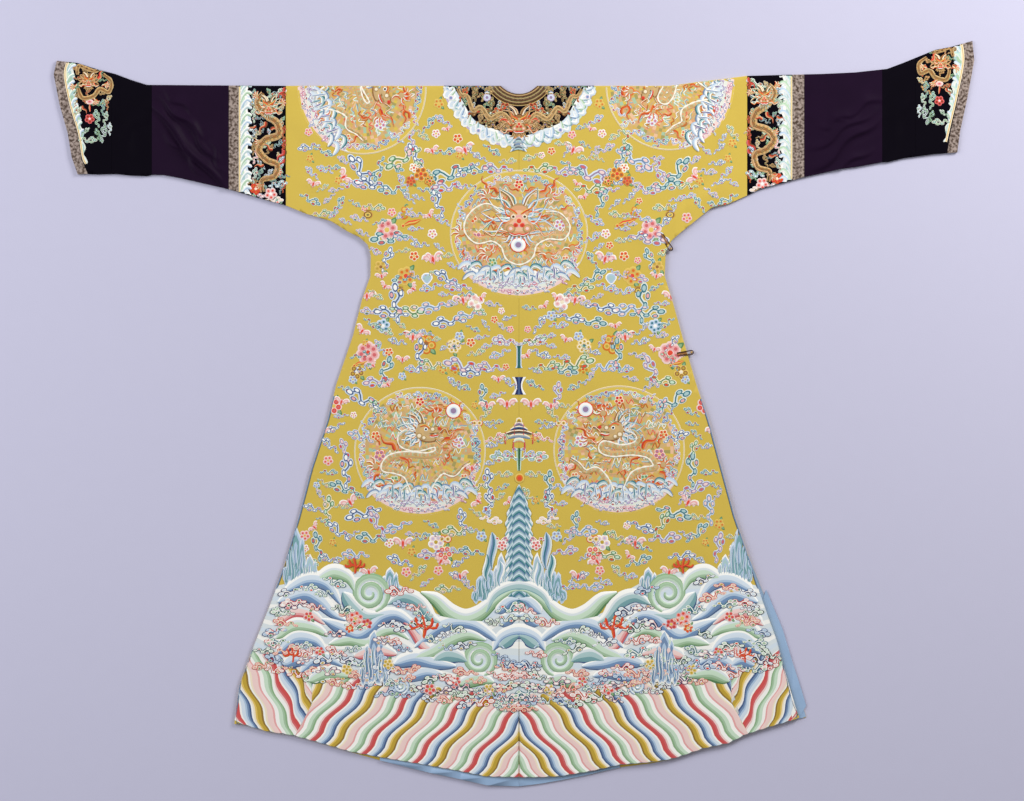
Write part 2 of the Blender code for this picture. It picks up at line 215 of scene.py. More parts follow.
def dress(piece, form, finish):
    """Gives a copy its worked form and its finish, and leaves it alone selected."""
    form.to_mesh(piece.data)
    form.free()
    piece.data.materials.clear()
    piece.data.materials.append(finish)
    bpy.ops.object.select_all(action="DESELECT")
    bpy.context.view_layer.objects.active = piece
    piece.select_set(True)


def cloth_shell(node, net, cloth):
    """A creased shell on a node's own form, cut into a net of about the given pitch in mm."""
    shell, form = copy_of(node, f"{node}_cloth")
    low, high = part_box(node)
    for axis, across in ((0, (1, 0, 0)), (1, (0, 1, 0))):
        cuts = int((high[axis] - low[axis]) / (net * MM))
        for cut in range(1, cuts + 1):
            at = low[axis] + (high[axis] - low[axis]) * cut / (cuts + 1)
            bmesh.ops.bisect_plane(form, geom=form.verts[:] + form.edges[:] + form.faces[:], dist=1e-6,
                                   plane_co=[at * part for part in across], plane_no=across)
    for vert in form.verts:
        across, down = read_off(vert.co)
        level = vert.co.z * 1000 - lift_over_overlap(across, down)
        vert.co.z += ramp(level, WALL, BACK_STEP) * crease_height(across, down) * MM
    dress(shell, form, cloth)
    bpy.ops.object.shade_smooth_by_angle(angle=math.radians(40))
    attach(shell, "root")
    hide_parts(node)
    shells[node] = shell


yellow_silk = woven("yellow_silk_cloth", (0.63, 0.465, 0.068), (0.585, 0.415, 0.062), 0.55, 0.12,
                    (1500, 260, 9))
for node, net in (("left_length", 12), ("right_length", 12), ("overlap", 80)):
    cloth_shell(node, net, yellow_silk)

# Collar and its border across the chest: black satin let in around the neck, bound at
# the neck edge with an olive gold brocade, and sewn down by hand.
black_satin = woven("black_satin_cloth", (0.004, 0.0028, 0.0062), (0.0028, 0.002, 0.0044), 0.6, 0.0,
                    (900, 900, 14), 0.02)
brocade = woven("gold_brocade_cloth", (0.36, 0.285, 0.25), (0.055, 0.03, 0.018), 0.5, 0.1, (1200, 1200, 190),
                0.3, 4.5)
for node in ("collar_facing_left", "collar_facing_right", "overlap_facing"):
    cloth_shell(node, 12, black_satin)
OUTER_PART, DRAWN_IN = 250, 3.5         # mm right of the seam, and mm that this part lies in under the back
back_edge = [read_off(vert.co) for vert in shells["right_length"].data.vertices]
for vert in shells["overlap_facing"].data.vertices:
    across, down = read_off(vert.co)
    if across > OUTER_PART:
        inside = max(x for x, y in back_edge if abs(y - down) < 8) - DRAWN_IN
        vert.co.x += min(0.0, inside - across) * MM
neck_brocade = woven("neck_brocade_cloth", (0.22, 0.165, 0.085), (0.04, 0.02, 0.022), 0.5, 0.05,
                     (1200, 1200, 190), 0.2, 4.5)
for node in ("neck_binding_left", "neck_binding_right"):
    cloth_shell(node, 10, neck_brocade)

# Sleeves: a black band, brocade trim, plain purple extension, black lower sleeve and
# horseshoe cuff with a brocade edge, all seamed edge to edge.
purple_satin = woven("purple_satin_cloth", (0.0135, 0.0042, 0.0185), (0.0095, 0.003, 0.0135), 0.5, 0.02,
                     (260, 1400, 22), 0.045)
for side in ("left", "right"):
    cloth_shell(f"sleeve_band_{side}", 11, black_satin)
    cloth_shell(f"sleeve_trim_{side}", 11, brocade)
    cloth_shell(f"sleeve_extension_{side}", 2.9, purple_satin)
    cloth_shell(f"sleeve_lower_{side}", 8, black_satin)
    cloth_shell(f"cuff_{side}", 10, black_satin)
    cloth_shell(f"cuff_trim_{side}", 10, brocade)

# Lining: pale blue silk, seen only where the front's edge lies out past the back's, at
# the hem and the right vent. Each strip is fixed under the back's edge by stitches.
blue_lining = woven("blue_lining_cloth", (0.33, 0.47, 0.66), (0.27, 0.40, 0.60), 0.5, 0.1, (1400, 300, 12))
for node in ("lining_hem_left", "lining_hem_right", "lining_vent"):
    cloth_shell(node, 60, blue_lining)

# Embroidery of the skirt: the hem's wavy stripes, laid in satin stitch of dyed and gold
# silks straight on the ground silk, one run of narrow stitches beside the next.
THREADS = {             # each thread's colour as red, green and blue from 0 to 255
    "white": (243, 242, 236), "cream": (238, 224, 196), "pale": (222, 226, 214), "snow": (214, 222, 224),
    "gold": (190, 160, 62), "old_gold": (146, 116, 56), "bright_gold": (222, 190, 98),
    "tan": (196, 166, 118), "fawn": (176, 146, 98), "peach": (214, 160, 118), "flesh": (228, 186, 150),
    "brown": (150, 104, 62), "bark": (98, 66, 44), "orange": (214, 112, 44), "red": (196, 62, 46),
    "coral": (220, 78, 58), "rose": (206, 104, 106), "pink": (228, 166, 164), "blush": (236, 206, 200),
    "lilac": (196, 180, 208), "mauve": (150, 128, 160), "navy": (38, 46, 96), "indigo": (74, 96, 136),
    "blue": (116, 146, 184), "sky": (172, 194, 216), "ice": (208, 220, 230), "teal": (60, 118, 130),
    "sea": (120, 162, 166), "mist": (168, 196, 196), "pale_green": (198, 220, 196),
    "green": (140, 174, 132), "leaf": (92, 134, 90), "forest": (46, 84, 62), "grey": (160, 170, 174),
    "slate": (92, 102, 112), "ink": (24, 22, 32), "olive": (136, 126, 74), "straw": (208, 172, 92),
    "sand": (206, 172, 116), "silk": (213, 186, 84), "moss": (164, 152, 92), "honey": (198, 150, 76),
    "brick": (204, 86, 84), "steel": (116, 140, 172), "celadon": (164, 192, 160),
}
FRONT_ALONE = 2.4       # mm; a face lower than this is the front's, seen out past the back
SEAM_GAP = 0.5          # mm
cloth_corners, cloth_faces = [], []
for node, shell in shells.items():
    if node.startswith("lining"):
        continue
    start = len(cloth_corners)
    cloth_corners.extend(shell.data.vertices[index].co.copy() for index in range(len(shell.data.vertices)))
    cloth_faces.extend([start + corner for corner in face.vertices] for face in shell.data.polygons)
cloth_top = BVHTree.FromPolygons(cloth_corners, cloth_faces)


def drop(across, down):
    """Height in metres of the cloth that a needle meets as it comes down, or None beside the robe."""
    hit = cloth_top.ray_cast(Vector(on_robe(across, down, 1.0)), Vector((0, 0, -1)))
    return None if hit[0] is None else hit[0].z


def top_of_cloth(across, down):
    """Height in metres of the back's upper face, or None beside the back; seams are bridged."""
    for aside in (0.0, -SEAM_GAP, SEAM_GAP):
        level = drop(across + aside, down)
        if level is not None and level * 1000 > lift_over_overlap(across, down) + FRONT_ALONE:
            return level
    return None


def edge_from(inside, outside, fixed, across_the_robe):
    """Where the back's edge lies between a place on it and one beside it, in mm."""
    for halving in range(14):
        middle = (inside + outside) / 2
        place = (middle, fixed) if across_the_robe else (fixed, middle)
        if top_of_cloth(*place) is None:
            outside = middle
        else:
            inside = middle
    return inside


# Silk thread: its lustre comes and goes with the lay of the stitches.
lustre_group, given, taken_out, places, laid, gloss, kept_to = shader_group(
    "silk_lustre", (("Lay", "Vector"), ("Least", "Float"), ("Most", "Float")), (("Lustre", "Float"),),
    ("TexCoord", "VectorMath", "TexNoise", "MapRange"))
laid.operation = "MULTIPLY"
gloss.inputs["Scale"].default_value = 1.0
kept_to.inputs["From Min"].default_value, kept_to.inputs["From Max"].default_value = 0.32, 0.68
for start, end in (
        (places.outputs["Object"], laid.inputs[0]), (given["Lay"], laid.inputs[1]),
        (laid.outputs[0], gloss.inputs["Vector"]), (gloss.outputs["Fac"], kept_to.inputs["Value"]),
        (given["Least"], kept_to.inputs["To Min"]), (given["Most"], kept_to.inputs["To Max"]),
        (kept_to.outputs["Result"], taken_out["Lustre"])):
    lustre_group.links.new(start, end)

LAYER = 0.14            # mm that each layer of stitches raises the next
TUCK = 0.16             # mm that the outermost stitches of a run are drawn in
stitched = {}


def thread_silk(thread):
    """The dyed silk of one thread, made when it is first used."""
    if thread not in stitched:
        silk = bpy.data.materials.new(f"{thread}_thread")
        silk.use_nodes = True
        dyed = [(part / 255 / 12.92 if part < 11 else ((part / 255 + 0.055) / 1.055) ** 2.4)
                for part in THREADS[thread]]
        shader = silk.node_tree.nodes["Principled BSDF"]
        shader.inputs["Base Color"].default_value = (*dyed, 1.0)
        shader.inputs["Roughness"].default_value = 0.44
        lustre = silk.node_tree.nodes.new("ShaderNodeGroup")
        lustre.node_tree = lustre_group
        for socket, value in (("Lay", (700.0, 460.0, 1.0)), ("Least", 0.02),
                              ("Most", 0.12 + 0.35 * dyed[1])):
            lustre.inputs[socket].default_value = value
        silk.node_tree.links.new(lustre.outputs["Lustre"], shader.inputs["Specular IOR Level"])
        stitched[thread] = silk
    return stitched[thread]


def cushion(share, rise, layer):
    """Height of a rounded run of stitches, from its middle at 0 out to its edge at 1, in mm."""
    return layer * LAYER + rise * (1 - share * share) - (TUCK if abs(share) > 0.99 else 0.0)


class Needlework:
    """Stitches gathered into one mesh; heights are in mm above the cloth beneath them."""

    def __init__(self, name, slot):
        self.name, self.slot, self.corners, self.faces, self.dyes, self.used = name, slot, [], [], [], []
        self.floor = top_of_cloth

    def dye(self, thread):
        if thread not in self.used:
            self.used.append(thread)
        return self.used.index(thread)

    def corner(self, across, down, height):
        self.corners.append((across, down, height))
        return len(self.corners) - 1

    def net(self, rows, colour_of, closed=False):
        """Quads between rows of (across, down, height); colour_of(row, column) names a thread."""
        numbered = [[self.corner(*place) for place in row] for row in rows]
        for i in range(len(rows) - 1):
            count = len(rows[i])
            for j in range(count if closed else count - 1):
                self.faces.append((numbered[i][j], numbered[i][(j + 1) % count],
                                   numbered[i + 1][(j + 1) % count], numbered[i + 1][j]))
                self.dyes.append(self.dye(colour_of(i, j)))

    def ribbon(self, path, width, threads, rise=0.4, layer=1, taper=0.35):
        """A rounded run of stitches along a path, with one thread for each strip across it."""
        rows = []
        for i, (x, y) in enumerate(path):
            back, on = path[max(0, i - 1)], path[min(len(path) - 1, i + 1)]
            run = math.hypot(on[0] - back[0], on[1] - back[1]) or 1.0
            aside = ((on[1] - back[1]) / run, -(on[0] - back[0]) / run)
            t = i / (len(path) - 1)
            half = (width(t) if callable(width) else width) / 2
            half *= min(1.0, taper + (1 - taper) * min(t, 1 - t) * 8) if taper < 1 else 1.0
            row = []
            for j in range(len(threads) + 1):
                s = 2 * j / len(threads) - 1
                row.append((x + aside[0] * half * s, y + aside[1] * half * s, cushion(s, rise, layer)))
            rows.append(row)
        self.net(rows,
                 lambda i, j: threads[j] if isinstance(threads[j], str) else threads[j][i % len(threads[j])])

    def patch(self, outline, rings, rise=0.35, layer=1):
        """A cushion of stitches inside an outline; rings go inwards as (share of size, thread)."""
        cx, cy = sum(x for x, y in outline) / len(outline), sum(y for x, y in outline) / len(outline)
        rows = []
        for share, thread in rings:
            rows.append([(cx + (x - cx) * share, cy + (y - cy) * share, cushion(share, rise, layer))
                         for x, y in outline])
        self.net(rows, lambda i, j: rings[i][1], closed=True)
        inner, middle = len(self.corners) - len(outline), self.corner(cx, cy, layer * LAYER + rise)
        for j in range(len(outline)):
            self.faces.append((inner + j, inner + (j + 1) % len(outline), middle))
            self.dyes.append(self.dye(rings[-1][1]))

    def sew_on(self):
        """Lay every stitch on the cloth below it and make the mesh."""
        placed, off = [], set()
        for number, (across, down, height) in enumerate(self.corners):
            level = self.floor(across, down)
            if level is None:
                off.add(number)
            placed.append(on_robe(across, down, (level or 0.0) + height * MM))
        kept = [n for n, face in enumerate(self.faces) if not off.intersection(face)]
        self.faces, self.dyes = [self.faces[n] for n in kept], [self.dyes[n] for n in kept]
        mesh = bpy.data.meshes.new(self.name)
        mesh.from_pydata(placed, [], self.faces)
        for thread in self.used:
            mesh.materials.append(thread_silk(thread))
        mesh.polygons.foreach_set("material_index", self.dyes)
        mesh.polygons.foreach_set("use_smooth", [True] * len(self.faces))
        mesh.validate()
        sewn = bpy.data.objects.new(self.name, mesh)
        bpy.context.scene.collection.objects.link(sewn)
        form = bmesh.new()
        form.from_mesh(mesh)
        bmesh.ops.delete(form, geom=[vert for vert in form.verts if not vert.link_faces], context="VERTS")
        for face in form.faces:
            if face.normal.z < 0:
                face.normal_flip()
        form.to_mesh(mesh)
        form.free()
        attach(sewn, "root")
        return sewn


def curve(points, step=5.0, closed=False):
    """A smooth line through the points, with a place about every step mm."""
    ends = points if closed else [points[0], *points, points[-1]]
    spans = len(points) if closed else len(points) - 1
    line = []
    for i in range(spans):
        a, b, c, d = ((points[(i - 1) % spans], points[i], points[(i + 1) % spans], points[(i + 2) % spans])
                      if closed else ends[i:i + 4])
        pieces = max(1, round(math.hypot(c[0] - b[0], c[1] - b[1]) / step))
        for piece in range(pieces):
            t = piece / pieces
            line.append(
                tuple(0.5 * (2 * b[k] + (c[k] - a[k]) * t + (2 * a[k] - 5 * b[k] + 4 * c[k] - d[k]) * t * t
                             + (3 * b[k] - a[k] - 3 * c[k] + d[k]) * t ** 3) for k in (0, 1)))
    if not closed:
        line.append(tuple(points[-1]))
    return line


def placer(at, size=1.0, turn=0.0, flip=1):
    """Takes a motif's own places, across and down from its middle, to places on the robe."""
    cos, sin = math.cos(math.radians(turn)) * size, math.sin(math.radians(turn)) * size
    return lambda x, y: (at[0] + flip * (x * cos - y * sin), at[1] + x * sin + y * cos)


def drawn(place, spots, step, closed=False, at=(0, 0), mirror=1):
    """A smooth line on the robe through a motif's own places, which may be given from one of them."""
    return curve([place(at[0] + mirror * a, at[1] + b) for a, b in spots], step, closed)


def turned(at, turn, spots):
    """Places given along a direction and to one side of it, from one place."""
    c, s = math.cos(math.radians(turn)), math.sin(math.radians(turn))
    return [(at[0] + c * a - s * b, at[1] + s * a + c * b) for a, b in spots]


def as_given(x, y):
    """For motifs whose places are given on the robe itself."""
    return x, y


STRIPE_REPEAT = 102.0   # mm along the hem
BANDS = (               # each band's strips, from its shaded side to its light side
    ("brick", "brick", "rose", "blush", "white", "white"),
    ("green", "celadon", "pale_green", "pale_green", "white", "white"),
    ("pink", "blush", "blush", "blush", "cream", "white"),
    ("old_gold", "gold", "gold", "bright_gold", "cream", "white"),
    ("indigo", "steel", "sky", "ice", "ice", "white"),
)
side_edges = {side: [edge_from(side * 200, side * 640, down, True) for down in range(420, 1290, 10)]
              for side in (-1, 1)}


def side_edge(side, down):
    """How far from the seam the back's edge is on one side, in mm."""
    place = min(len(side_edges[side]) - 1.001, max(0.0, (down - 420) / 10))
    low = int(place)
    return abs(side_edges[side][low] * (low + 1 - place) + side_edges[side][low + 1] * (place - low)) - 0.6


def hem_line(across):
    """How far below the shoulders the back's hem lies, in mm."""
    return edge_from(1200, 1480, across, False)


def ridge(n):
    """Height of one strip in its band of six, which is highest along its middle, in mm."""
    return 0.3 + 0.5 * math.sin(math.pi * (n % 6) / 6)


hem_stripes = Needlework("hem_stripes", "yellow_silk")
for side, notch in ((-1, 448.0), (1, 458.0)):
    outer = side_edge(side, 1262)
    strip = STRIPE_REPEAT / (6 * len(BANDS))
    notch_foot = hem_line(side * notch) - 0.3

    def notch_line(down):
        return notch - 34 * ramp(notch_foot - down, 0, 64)

    lines = []
    for n in range(int((outer + 140) / strip)):
        foot = min(n * strip, outer)
        hem = hem_line(side * max(0.6, foot)) - 0.3
        line = []
        for row in range(21):
            up = row * 9.0
            sway = 5.5 * math.sin(up / 11.2 + 0.9) * min(1.0, up / 14)
            x = max(0.6, n * strip - 0.80 * up - sway)
            line.append((side * min(x, notch_line(hem - up)), hem - up, ridge(n)))
        lines.append(line)
    hem_stripes.net(lines, lambda i, j: BANDS[(i // 6) % 5][i % 6])
    feet = [(x, hem_line(side * x) - 0.3) for x in (outer - (outer - notch) * k / 30 for k in range(31))]
    feet += [(notch_line(notch_foot - k * 3.6), notch_foot - k * 3.6) for k in range(1, 34)]
    lines = []
    for n, (x, y) in enumerate(feet):
        line = []
        for row in range(22):
            up = row * 8.0
            sway = 4.0 * math.sin(up / 11.2) * min(1.0, up / 14)
            across = min(x + 0.43 * up + sway, side_edge(side, y - up))
            line.append((side * across, y - up, ridge(n)))
        lines.append(line)
    hem_stripes.net(lines, lambda i, j: BANDS[(0, 4, 3, 2, 1)[(i // 6) % 5]][5 - i % 6])
# A thin steel and slate line along both sides, from the vent's height down, and along the hem. It is partly
# the blue-grey edge of the lining and partly painted shade along the robe's edge.
edge_line_and_painted_shade = [(side_edge(-1, y) * -1 + 1.2, y) for y in range(620, 1266, 6)]
edge_line_and_painted_shade += [(x, hem_line(x) - 0.6) for x in range(-564, 566, 6)]
edge_line_and_painted_shade += [(side_edge(1, y) - 1.2, y) for y in range(1262, 620, -6)]
hem_stripes.ribbon(edge_line_and_painted_shade, 3.4, ("steel", "slate"), 0.5, 3, 0.9)
hem_stripes.sew_on()

# Vent: a pale blue edging on the strip of the front's own face that shows past the
# back's edge, from the upper end of the lining down to the corner of the hem.
VENT_TOP, VENT_CORNER, VENT_FOOT = 940, 1245, 1272     # mm below the shoulder line
UNDER_THE_BACK, UNDER_THE_CORNER = 3, 26                # mm that the edging runs in under the back


def front_face(across, down):
    """Height of the front's own face, that shows past the back's edge at the vent."""
    level = drop(across, down)
    return None if level is None else min(level, (lift_over_overlap(across, down) + WALL) * MM)


vent_edging = Needlework("vent_edging", "blue_lining")
vent_edging.floor = front_face
rows = []
for y in range(VENT_TOP, VENT_FOOT, 3):
    inner = side_edge(1, y) - (UNDER_THE_BACK if y < VENT_CORNER else UNDER_THE_CORNER)
    near, far = inner, inner + 60
    for halving in range(12):
        middle = (near + far) / 2
        near, far = (near, middle) if front_face(middle, y) is None else (middle, far)
    rows.append([(inner + (near - 0.1 - inner) * t / 4, y, 0.2) for t in range(5)])
vent_edging.net(rows, lambda i, j: "sky")
vent_edging.sew_on().data.materials[0] = blue_lining

# Embroidery of the skirt, second part: standing waves above the stripes, with spirals,
# small outlined clouds, coral and rocks among them, over a pale ground of laid stitches.
SKYLINE = ((0, 986), (38, 1006), (58, 1024), (98, 1054), (138, 1062), (178, 1044), (208, 1010), (248, 990),
           (296, 970), (338, 972), (378, 974), (430, 990), (520, 1010))
HUMPS = (               # threads from the crest's outer edge inwards
    ("white", "white", "ice", "ice", "sky", "blue", "steel", "indigo"),
    ("white", "white", "snow", "pale_green", "pale_green", "celadon", "green", "leaf"),
    ("white", "white", "snow", "blush", "blush", "pink", "rose", "steel"),
    ("white", "white", "snow", "mist", "mist", "sea", "sea", "indigo"),
)
CRESTS = (              # which threads, then each place right of the seam and down, in mm
    (1, (406, 990), (372, 972), (340, 984), (328, 1010)),
    (0, (470, 1012), (424, 988), (384, 996), (356, 1036)),
    (0, (482, 1032), (430, 1014), (398, 1028), (370, 1056), (346, 1068)),
    (2, (488, 1078), (452, 1050), (414, 1056), (388, 1076)),
    (1, (486, 1104), (450, 1078), (406, 1084), (382, 1100)),
    (0, (484, 1134), (448, 1104), (408, 1108), (386, 1130)),
    (3, (262, 1036), (232, 1020), (200, 1032), (174, 1064), (144, 1080)),
    (1, (196, 1012), (166, 1026), (138, 1052), (108, 1064), (78, 1054), (48, 1028), (18, 1010), (0, 1008)),
    (0, (394, 1066), (356, 1082), (324, 1096), (300, 1084), (276, 1062), (246, 1056), (218, 1072),
     (198, 1096)),
    (1, (380, 1116), (338, 1106), (302, 1112), (276, 1092), (248, 1088), (220, 1106)),
    (0, (208, 1122), (168, 1086), (130, 1072), (92, 1076), (56, 1098), (30, 1124)),
    (1, (210, 1144), (170, 1128), (138, 1106), (102, 1096), (66, 1108)),
    (0, (436, 1172), (414, 1150), (382, 1144), (350, 1160)),
    (1, (420, 1190), (384, 1172), (338, 1180)),
    (0, (250, 1156), (208, 1144), (168, 1154), (126, 1160)),
    (0, (44, 1054), (20, 1030), (0, 1026)),
    (3, (40, 1120), (18, 1102), (0, 1098)),
    (2, (330, 1140), (286, 1126), (244, 1136)),
    (0, (226, 1186), (186, 1172), (148, 1180)),
    (1, (120, 1196), (84, 1184), (50, 1192)),
    (3, (352, 1012), (330, 1042), (306, 1060), (270, 1056)),
    (2, (232, 1060), (206, 1090), (188, 1120), (160, 1128)),
    (0, (470, 1158), (446, 1146), (424, 1158)),
    (3, (170, 1148), (146, 1136), (120, 1140), (104, 1150)),
    (0, (40, 1078), (18, 1062), (0, 1058)),
)
KEPT_CLEAR = (          # right, down and reach of what the small clouds leave open, in mm
    (298, 1014, 44), (80, 1146, 40), (0, 1096, 50),
)
SPIRALS = ((298, 1014, 38, 1), (80, 1146, 34, 1), (236, 1200, 16, 0), (430, 1128, 15, 2))


def skyline(across):
    """How far below the shoulders the waves' upper edge lies, alike on both sides, in mm."""
    for (x0, y0), (x1, y1) in zip(SKYLINE, SKYLINE[1:]):
        if abs(across) <= x1:
            return y0 + (y1 - y0) * ramp(abs(across), x0, x1)
    return SKYLINE[-1][1]


def disc(place, x, y, radius, sides=10, squash=1.0):
    """The outline of a round cushion, or of an oval one."""
    return [place(x + radius * math.cos(k * 2 * math.pi / sides),
                  y + squash * radius * math.sin(k * 2 * math.pi / sides)) for k in range(sides)]


def cloud(work, at, length, turn=0, flip=1, tones=("white", "teal", "sky"), tip="pink", layer=3):
    """A small cloud: outlined lobes, one stepped beside the next along a thin winding tail."""
    place = placer(at, length / 100, turn, flip)
    edge, core, fill = tones
    bend = 6 + length % 8
    tail = drawn(place, ((-30, 0), (-6, -bend), (18, bend), (40, -bend), (58, bend / 2), (76, -3)),
                 length / 10)
    work.ribbon(tail, lambda t: length * (0.16 - 0.07 * t), (edge, core, edge), 0.3, layer, 0.3)
    for x, y, radius, squash, heart in ((-34, 2, 19, 0.62, fill), (-16, -14, 16, 0.6, fill),
                                        (-12, 15, 15, 0.6, tip), (18, bend + 2, 16, 0.55, fill),
                                        (40, -bend, 14, 0.55, tip), (64, 3, 14, 0.55, fill)):
        work.patch(disc(place, x, y, radius, 9, squash), ((1.0, edge), (0.76, core), (0.48, heart)), 0.3,
                   layer + 1)


def flower(work, at, size, petals=5, tones=("blush", "pink", "rose"), heart="bright_gold", leaves=True,
           layer=3):
    """A round blossom of cushioned petals with a gold heart and two leaves."""
    place = placer(at, size / 100, 17 * petals)
    if leaves:
        for turn in (-38, 205):
            leaf = drawn(place, turned((0, 0), turn, ((24, 0), (44, -12), (66, 0), (44, 12))), size / 12,
                         True)
            work.patch(leaf, ((1.0, "leaf"), (0.55, "green")), 0.25, layer - 1)
    for k in range(petals):
        angle = k * 2 * math.pi / petals
        spot = (26 * math.cos(angle), 26 * math.sin(angle))
        work.patch(disc(place, *spot, 21, 9), ((1.0, tones[0]), (0.66, tones[1]), (0.35, tones[2])), 0.35,
                   layer)
    work.patch(disc(place, 0, 0, 12, 8), ((1.0, heart),), 0.5, layer + 1)


def spiral(work, x, y, radius, tones, side):
    """A curled wave worked in one long run that winds inwards."""
    path = [(x + side * radius * (1 - 0.86 * k / 44) * math.cos(k * 0.32 + 1.9),
             y + radius * (1 - 0.86 * k / 44) * math.sin(k * 0.32 + 1.9)) for k in range(45)]
    work.patch(disc(as_given, x, y, radius * 0.95, 20), ((1.0, "pale_green"), (0.5, "mist")), 0.1, 3)
    work.ribbon(path, lambda t: radius * (0.5 - 0.24 * t), tones[1:6] if side > 0 else tones[5:0:-1], 1.4, 5,
                0.5)


def coral(work, at, size, side):
    """A branch of red coral in five short runs."""
    place = placer(at, size / 100, 0, side)
    for branch in (((0, 40), (-4, 0), (6, -44)), ((-2, 10), (-26, -8), (-30, -34)),
                   ((0, 0), (24, -14), (30, -36)), ((-22, 4), (-44, 2), (-50, -16)),
                   ((14, -4), (42, 4), (52, -10))):
        work.ribbon(drawn(place, branch, size / 9), size * 0.13, ("red", "coral", "orange"), 0.6, 15)


def rock(work, at, width, height, tones=("white", "ice", "sky", "steel"), layer=5):
    """Worn stones piled up, each pale at its edge and streaked down its face."""
    for k, (x, low, wide, tall) in enumerate(
            ((0.0, 0.1, 0.36, 0.9), (-0.27, 0.04, 0.32, 0.66), (0.27, 0.06, 0.32, 0.72),
             (-0.44, 0.0, 0.26, 0.34), (0.45, 0.0, 0.26, 0.4), (-0.12, 0.0, 0.32, 0.44),
             (0.15, 0.0, 0.3, 0.36))):
        spots = []
        for point in range(13):
            angle = point * 2 * math.pi / 13
            worn = 1 + 0.13 * math.sin(3 * angle + 1.9 * k) + 0.1 * math.sin(5 * angle + k)
            spots.append((at[0] + width * (x + wide * 0.58 * worn * math.cos(angle)),
                          at[1] - height * (low + tall * 0.5 * (1 + worn * math.sin(angle)))))
        work.patch(spots, ((1.0, tones[0]), (0.84, tones[1]), (0.66, tones[2]), (0.4, tones[1 + k % 2])),
                   0.5, layer + k % 2)
        for streak in (-0.2, 0.24):
            foot = at[1] - height * (low + tall * 0.2)
            work.ribbon(
                [(at[0] + width * (x + wide * streak * (1 - 0.3 * t) + 0.02 * math.sin(7 * t + k)),
                  foot - height * tall * (0.4 + 0.3 * (k % 2)) * t) for t in (0, 0.25, 0.5, 0.75, 1)],
                width * wide * 0.2, (tones[2 + (streak < 0)], tones[0]), 0.2, layer + 5, 0.3)


waves = Needlework("standing_waves", "yellow_silk")
shade = random.Random(7)
for side in (-1, 1):
    columns = []
    for k in range(61):
        share = k / 60
        column = []
        for row in range(19):
            t = row / 18
            low = 1236 - 96 * share ** 1.3 - 9 * abs(math.sin(share * 26))
            top = skyline(share * 470)
            down = top + (low - top) * t
            column.append((side * max(0.5, share * side_edge(side, down)), down,
                           0.9 - (0.9 if row in (0, 18) else 0.0)))
        columns.append(column)
    waves.net(columns, lambda i, j: ("snow", "white", "snow", "ice")[j % 4])
    crest_tops = []
    for order, (tones, *places) in enumerate(CRESTS):
        crest_tops += curve(places, 12.0)
        path = curve([(side * min(x, side_edge(side, y) - 10), y) for x, y in places], 5.0)
        width = 35 + 3 * (order % 3)
        threads = HUMPS[tones] if side < 0 else HUMPS[tones][::-1]
        waves.ribbon(path, lambda t: width * (0.45 + 0.55 * math.sin(math.pi * min(1.0, t * 1.15))),
                     threads[::-1], 1.5, 4 + order % 3, 0.25)
    for x, y, radius, tones in SPIRALS:
        spiral(waves, side * x, y, radius, ("white", "snow", "pale_green", "celadon", "celadon", "green")
               if tones == 1 else HUMPS[tones], side)
    rock(waves, (side * 290, 1198), 50, 118, ("white", "sky", "steel", "teal"), layer=14)
    rock(waves, (side * 258, 1026), 42, 66, ("white", "sky", "sea", "steel"))
    rock(waves, (side * (side_edge(side, 930) - 14), 1000), 44, 124, ("ice", "sky", "sea", "steel"))
    rock(waves, (side * (side_edge(side, 930) - 42), 1004), 36, 70, ("white", "sky", "mist", "steel"))
    coral(waves, (side * 328, 960), 38, side)
    coral(waves, (side * 190, 1082), 56, side)
    coral(waves, (side * 452, 1138), 36, side)
    for x, y, size, tones in ((326, 1064, 38, ("blush", "pink", "coral")),
                              (304, 1076, 28, ("pink", "rose", "red")),
                              (338, 1084, 24, ("cream", "orange", "coral"))):
        flower(waves, (side * x, y), size, 6, tones, layer=15)
    tones = (("navy", "white", "ice"), ("red", "white", "blush"), ("forest", "white", "pale_green"),
             ("brick", "cream", "pink"), ("indigo", "ice", "sky"), ("teal", "white", "celadon"),
             ("navy", "blush", "white"))
    placed = []
    for attempt in range(4200):
        share = shade.uniform(0.02, 0.97)
        low = 1240 - 92 * share ** 1.3
        span = (skyline(share * 470) + 14, low) if attempt % 3 else (low - 40, low + 8)
        y = shade.uniform(*span)
        x, size = share * side_edge(side, y) - 6, shade.uniform(30, 46)
        crowded = any(math.hypot(x - a, (y - b) * 1.5) < (size + c) * 0.34 for a, b, c in placed)
        if crowded or any(math.hypot(x - a, y - b) < reach for a, b, reach in KEPT_CLEAR):
            continue
        on_crest = any(math.hypot(x - a, y - b) < 13 for a, b in crest_tops)
        if on_crest and y < low - 44 and attempt % 3:
            continue
        placed.append((x, y, size))
        cloud(waves, (side * x, y), size, shade.uniform(-24, 24), side * shade.choice((-1, 1)),
              tones[shade.randrange(7)], shade.choice(("coral", "leaf", "gold", "rose", "blue")),
              9 if y > low - 12 else 15)
    for order, y in enumerate(range(1012, 1132, 20)):
        cloud(waves, (side * (side_edge(side, y) - 26 - 14 * (order % 2)), y), 40, -12 + 8 * (order % 4),
              -side, tones[order % 7], "leaf", 15)
    for x, y, size in ((262, 1156, 26), (178, 1206, 28), (344, 1166, 26), (420, 1060, 24), (126, 1190, 24),
                       (60, 1206, 26), (398, 1130, 24)):
        flower(waves, (side * x, y), size, 5,
               (("blush", "rose", "coral"), ("cream", "bright_gold", "gold"))[size % 4 // 2], "gold", True,
               15)
for half, top, foot, tones in ((66, 1000, 1052, 3), (52, 1090, 1128, 0)):
    arch = curve([(-half, foot), (-half * 0.66, top + (foot - top) * 0.3), (0, top),
                  (half * 0.66, top + (foot - top) * 0.3), (half, foot)], 5)
    waves.ribbon(arch, lambda t: 34 * (0.45 + 0.55 * math.sin(math.pi * t)), HUMPS[tones][::-1], 1.5, 6, 0.3)
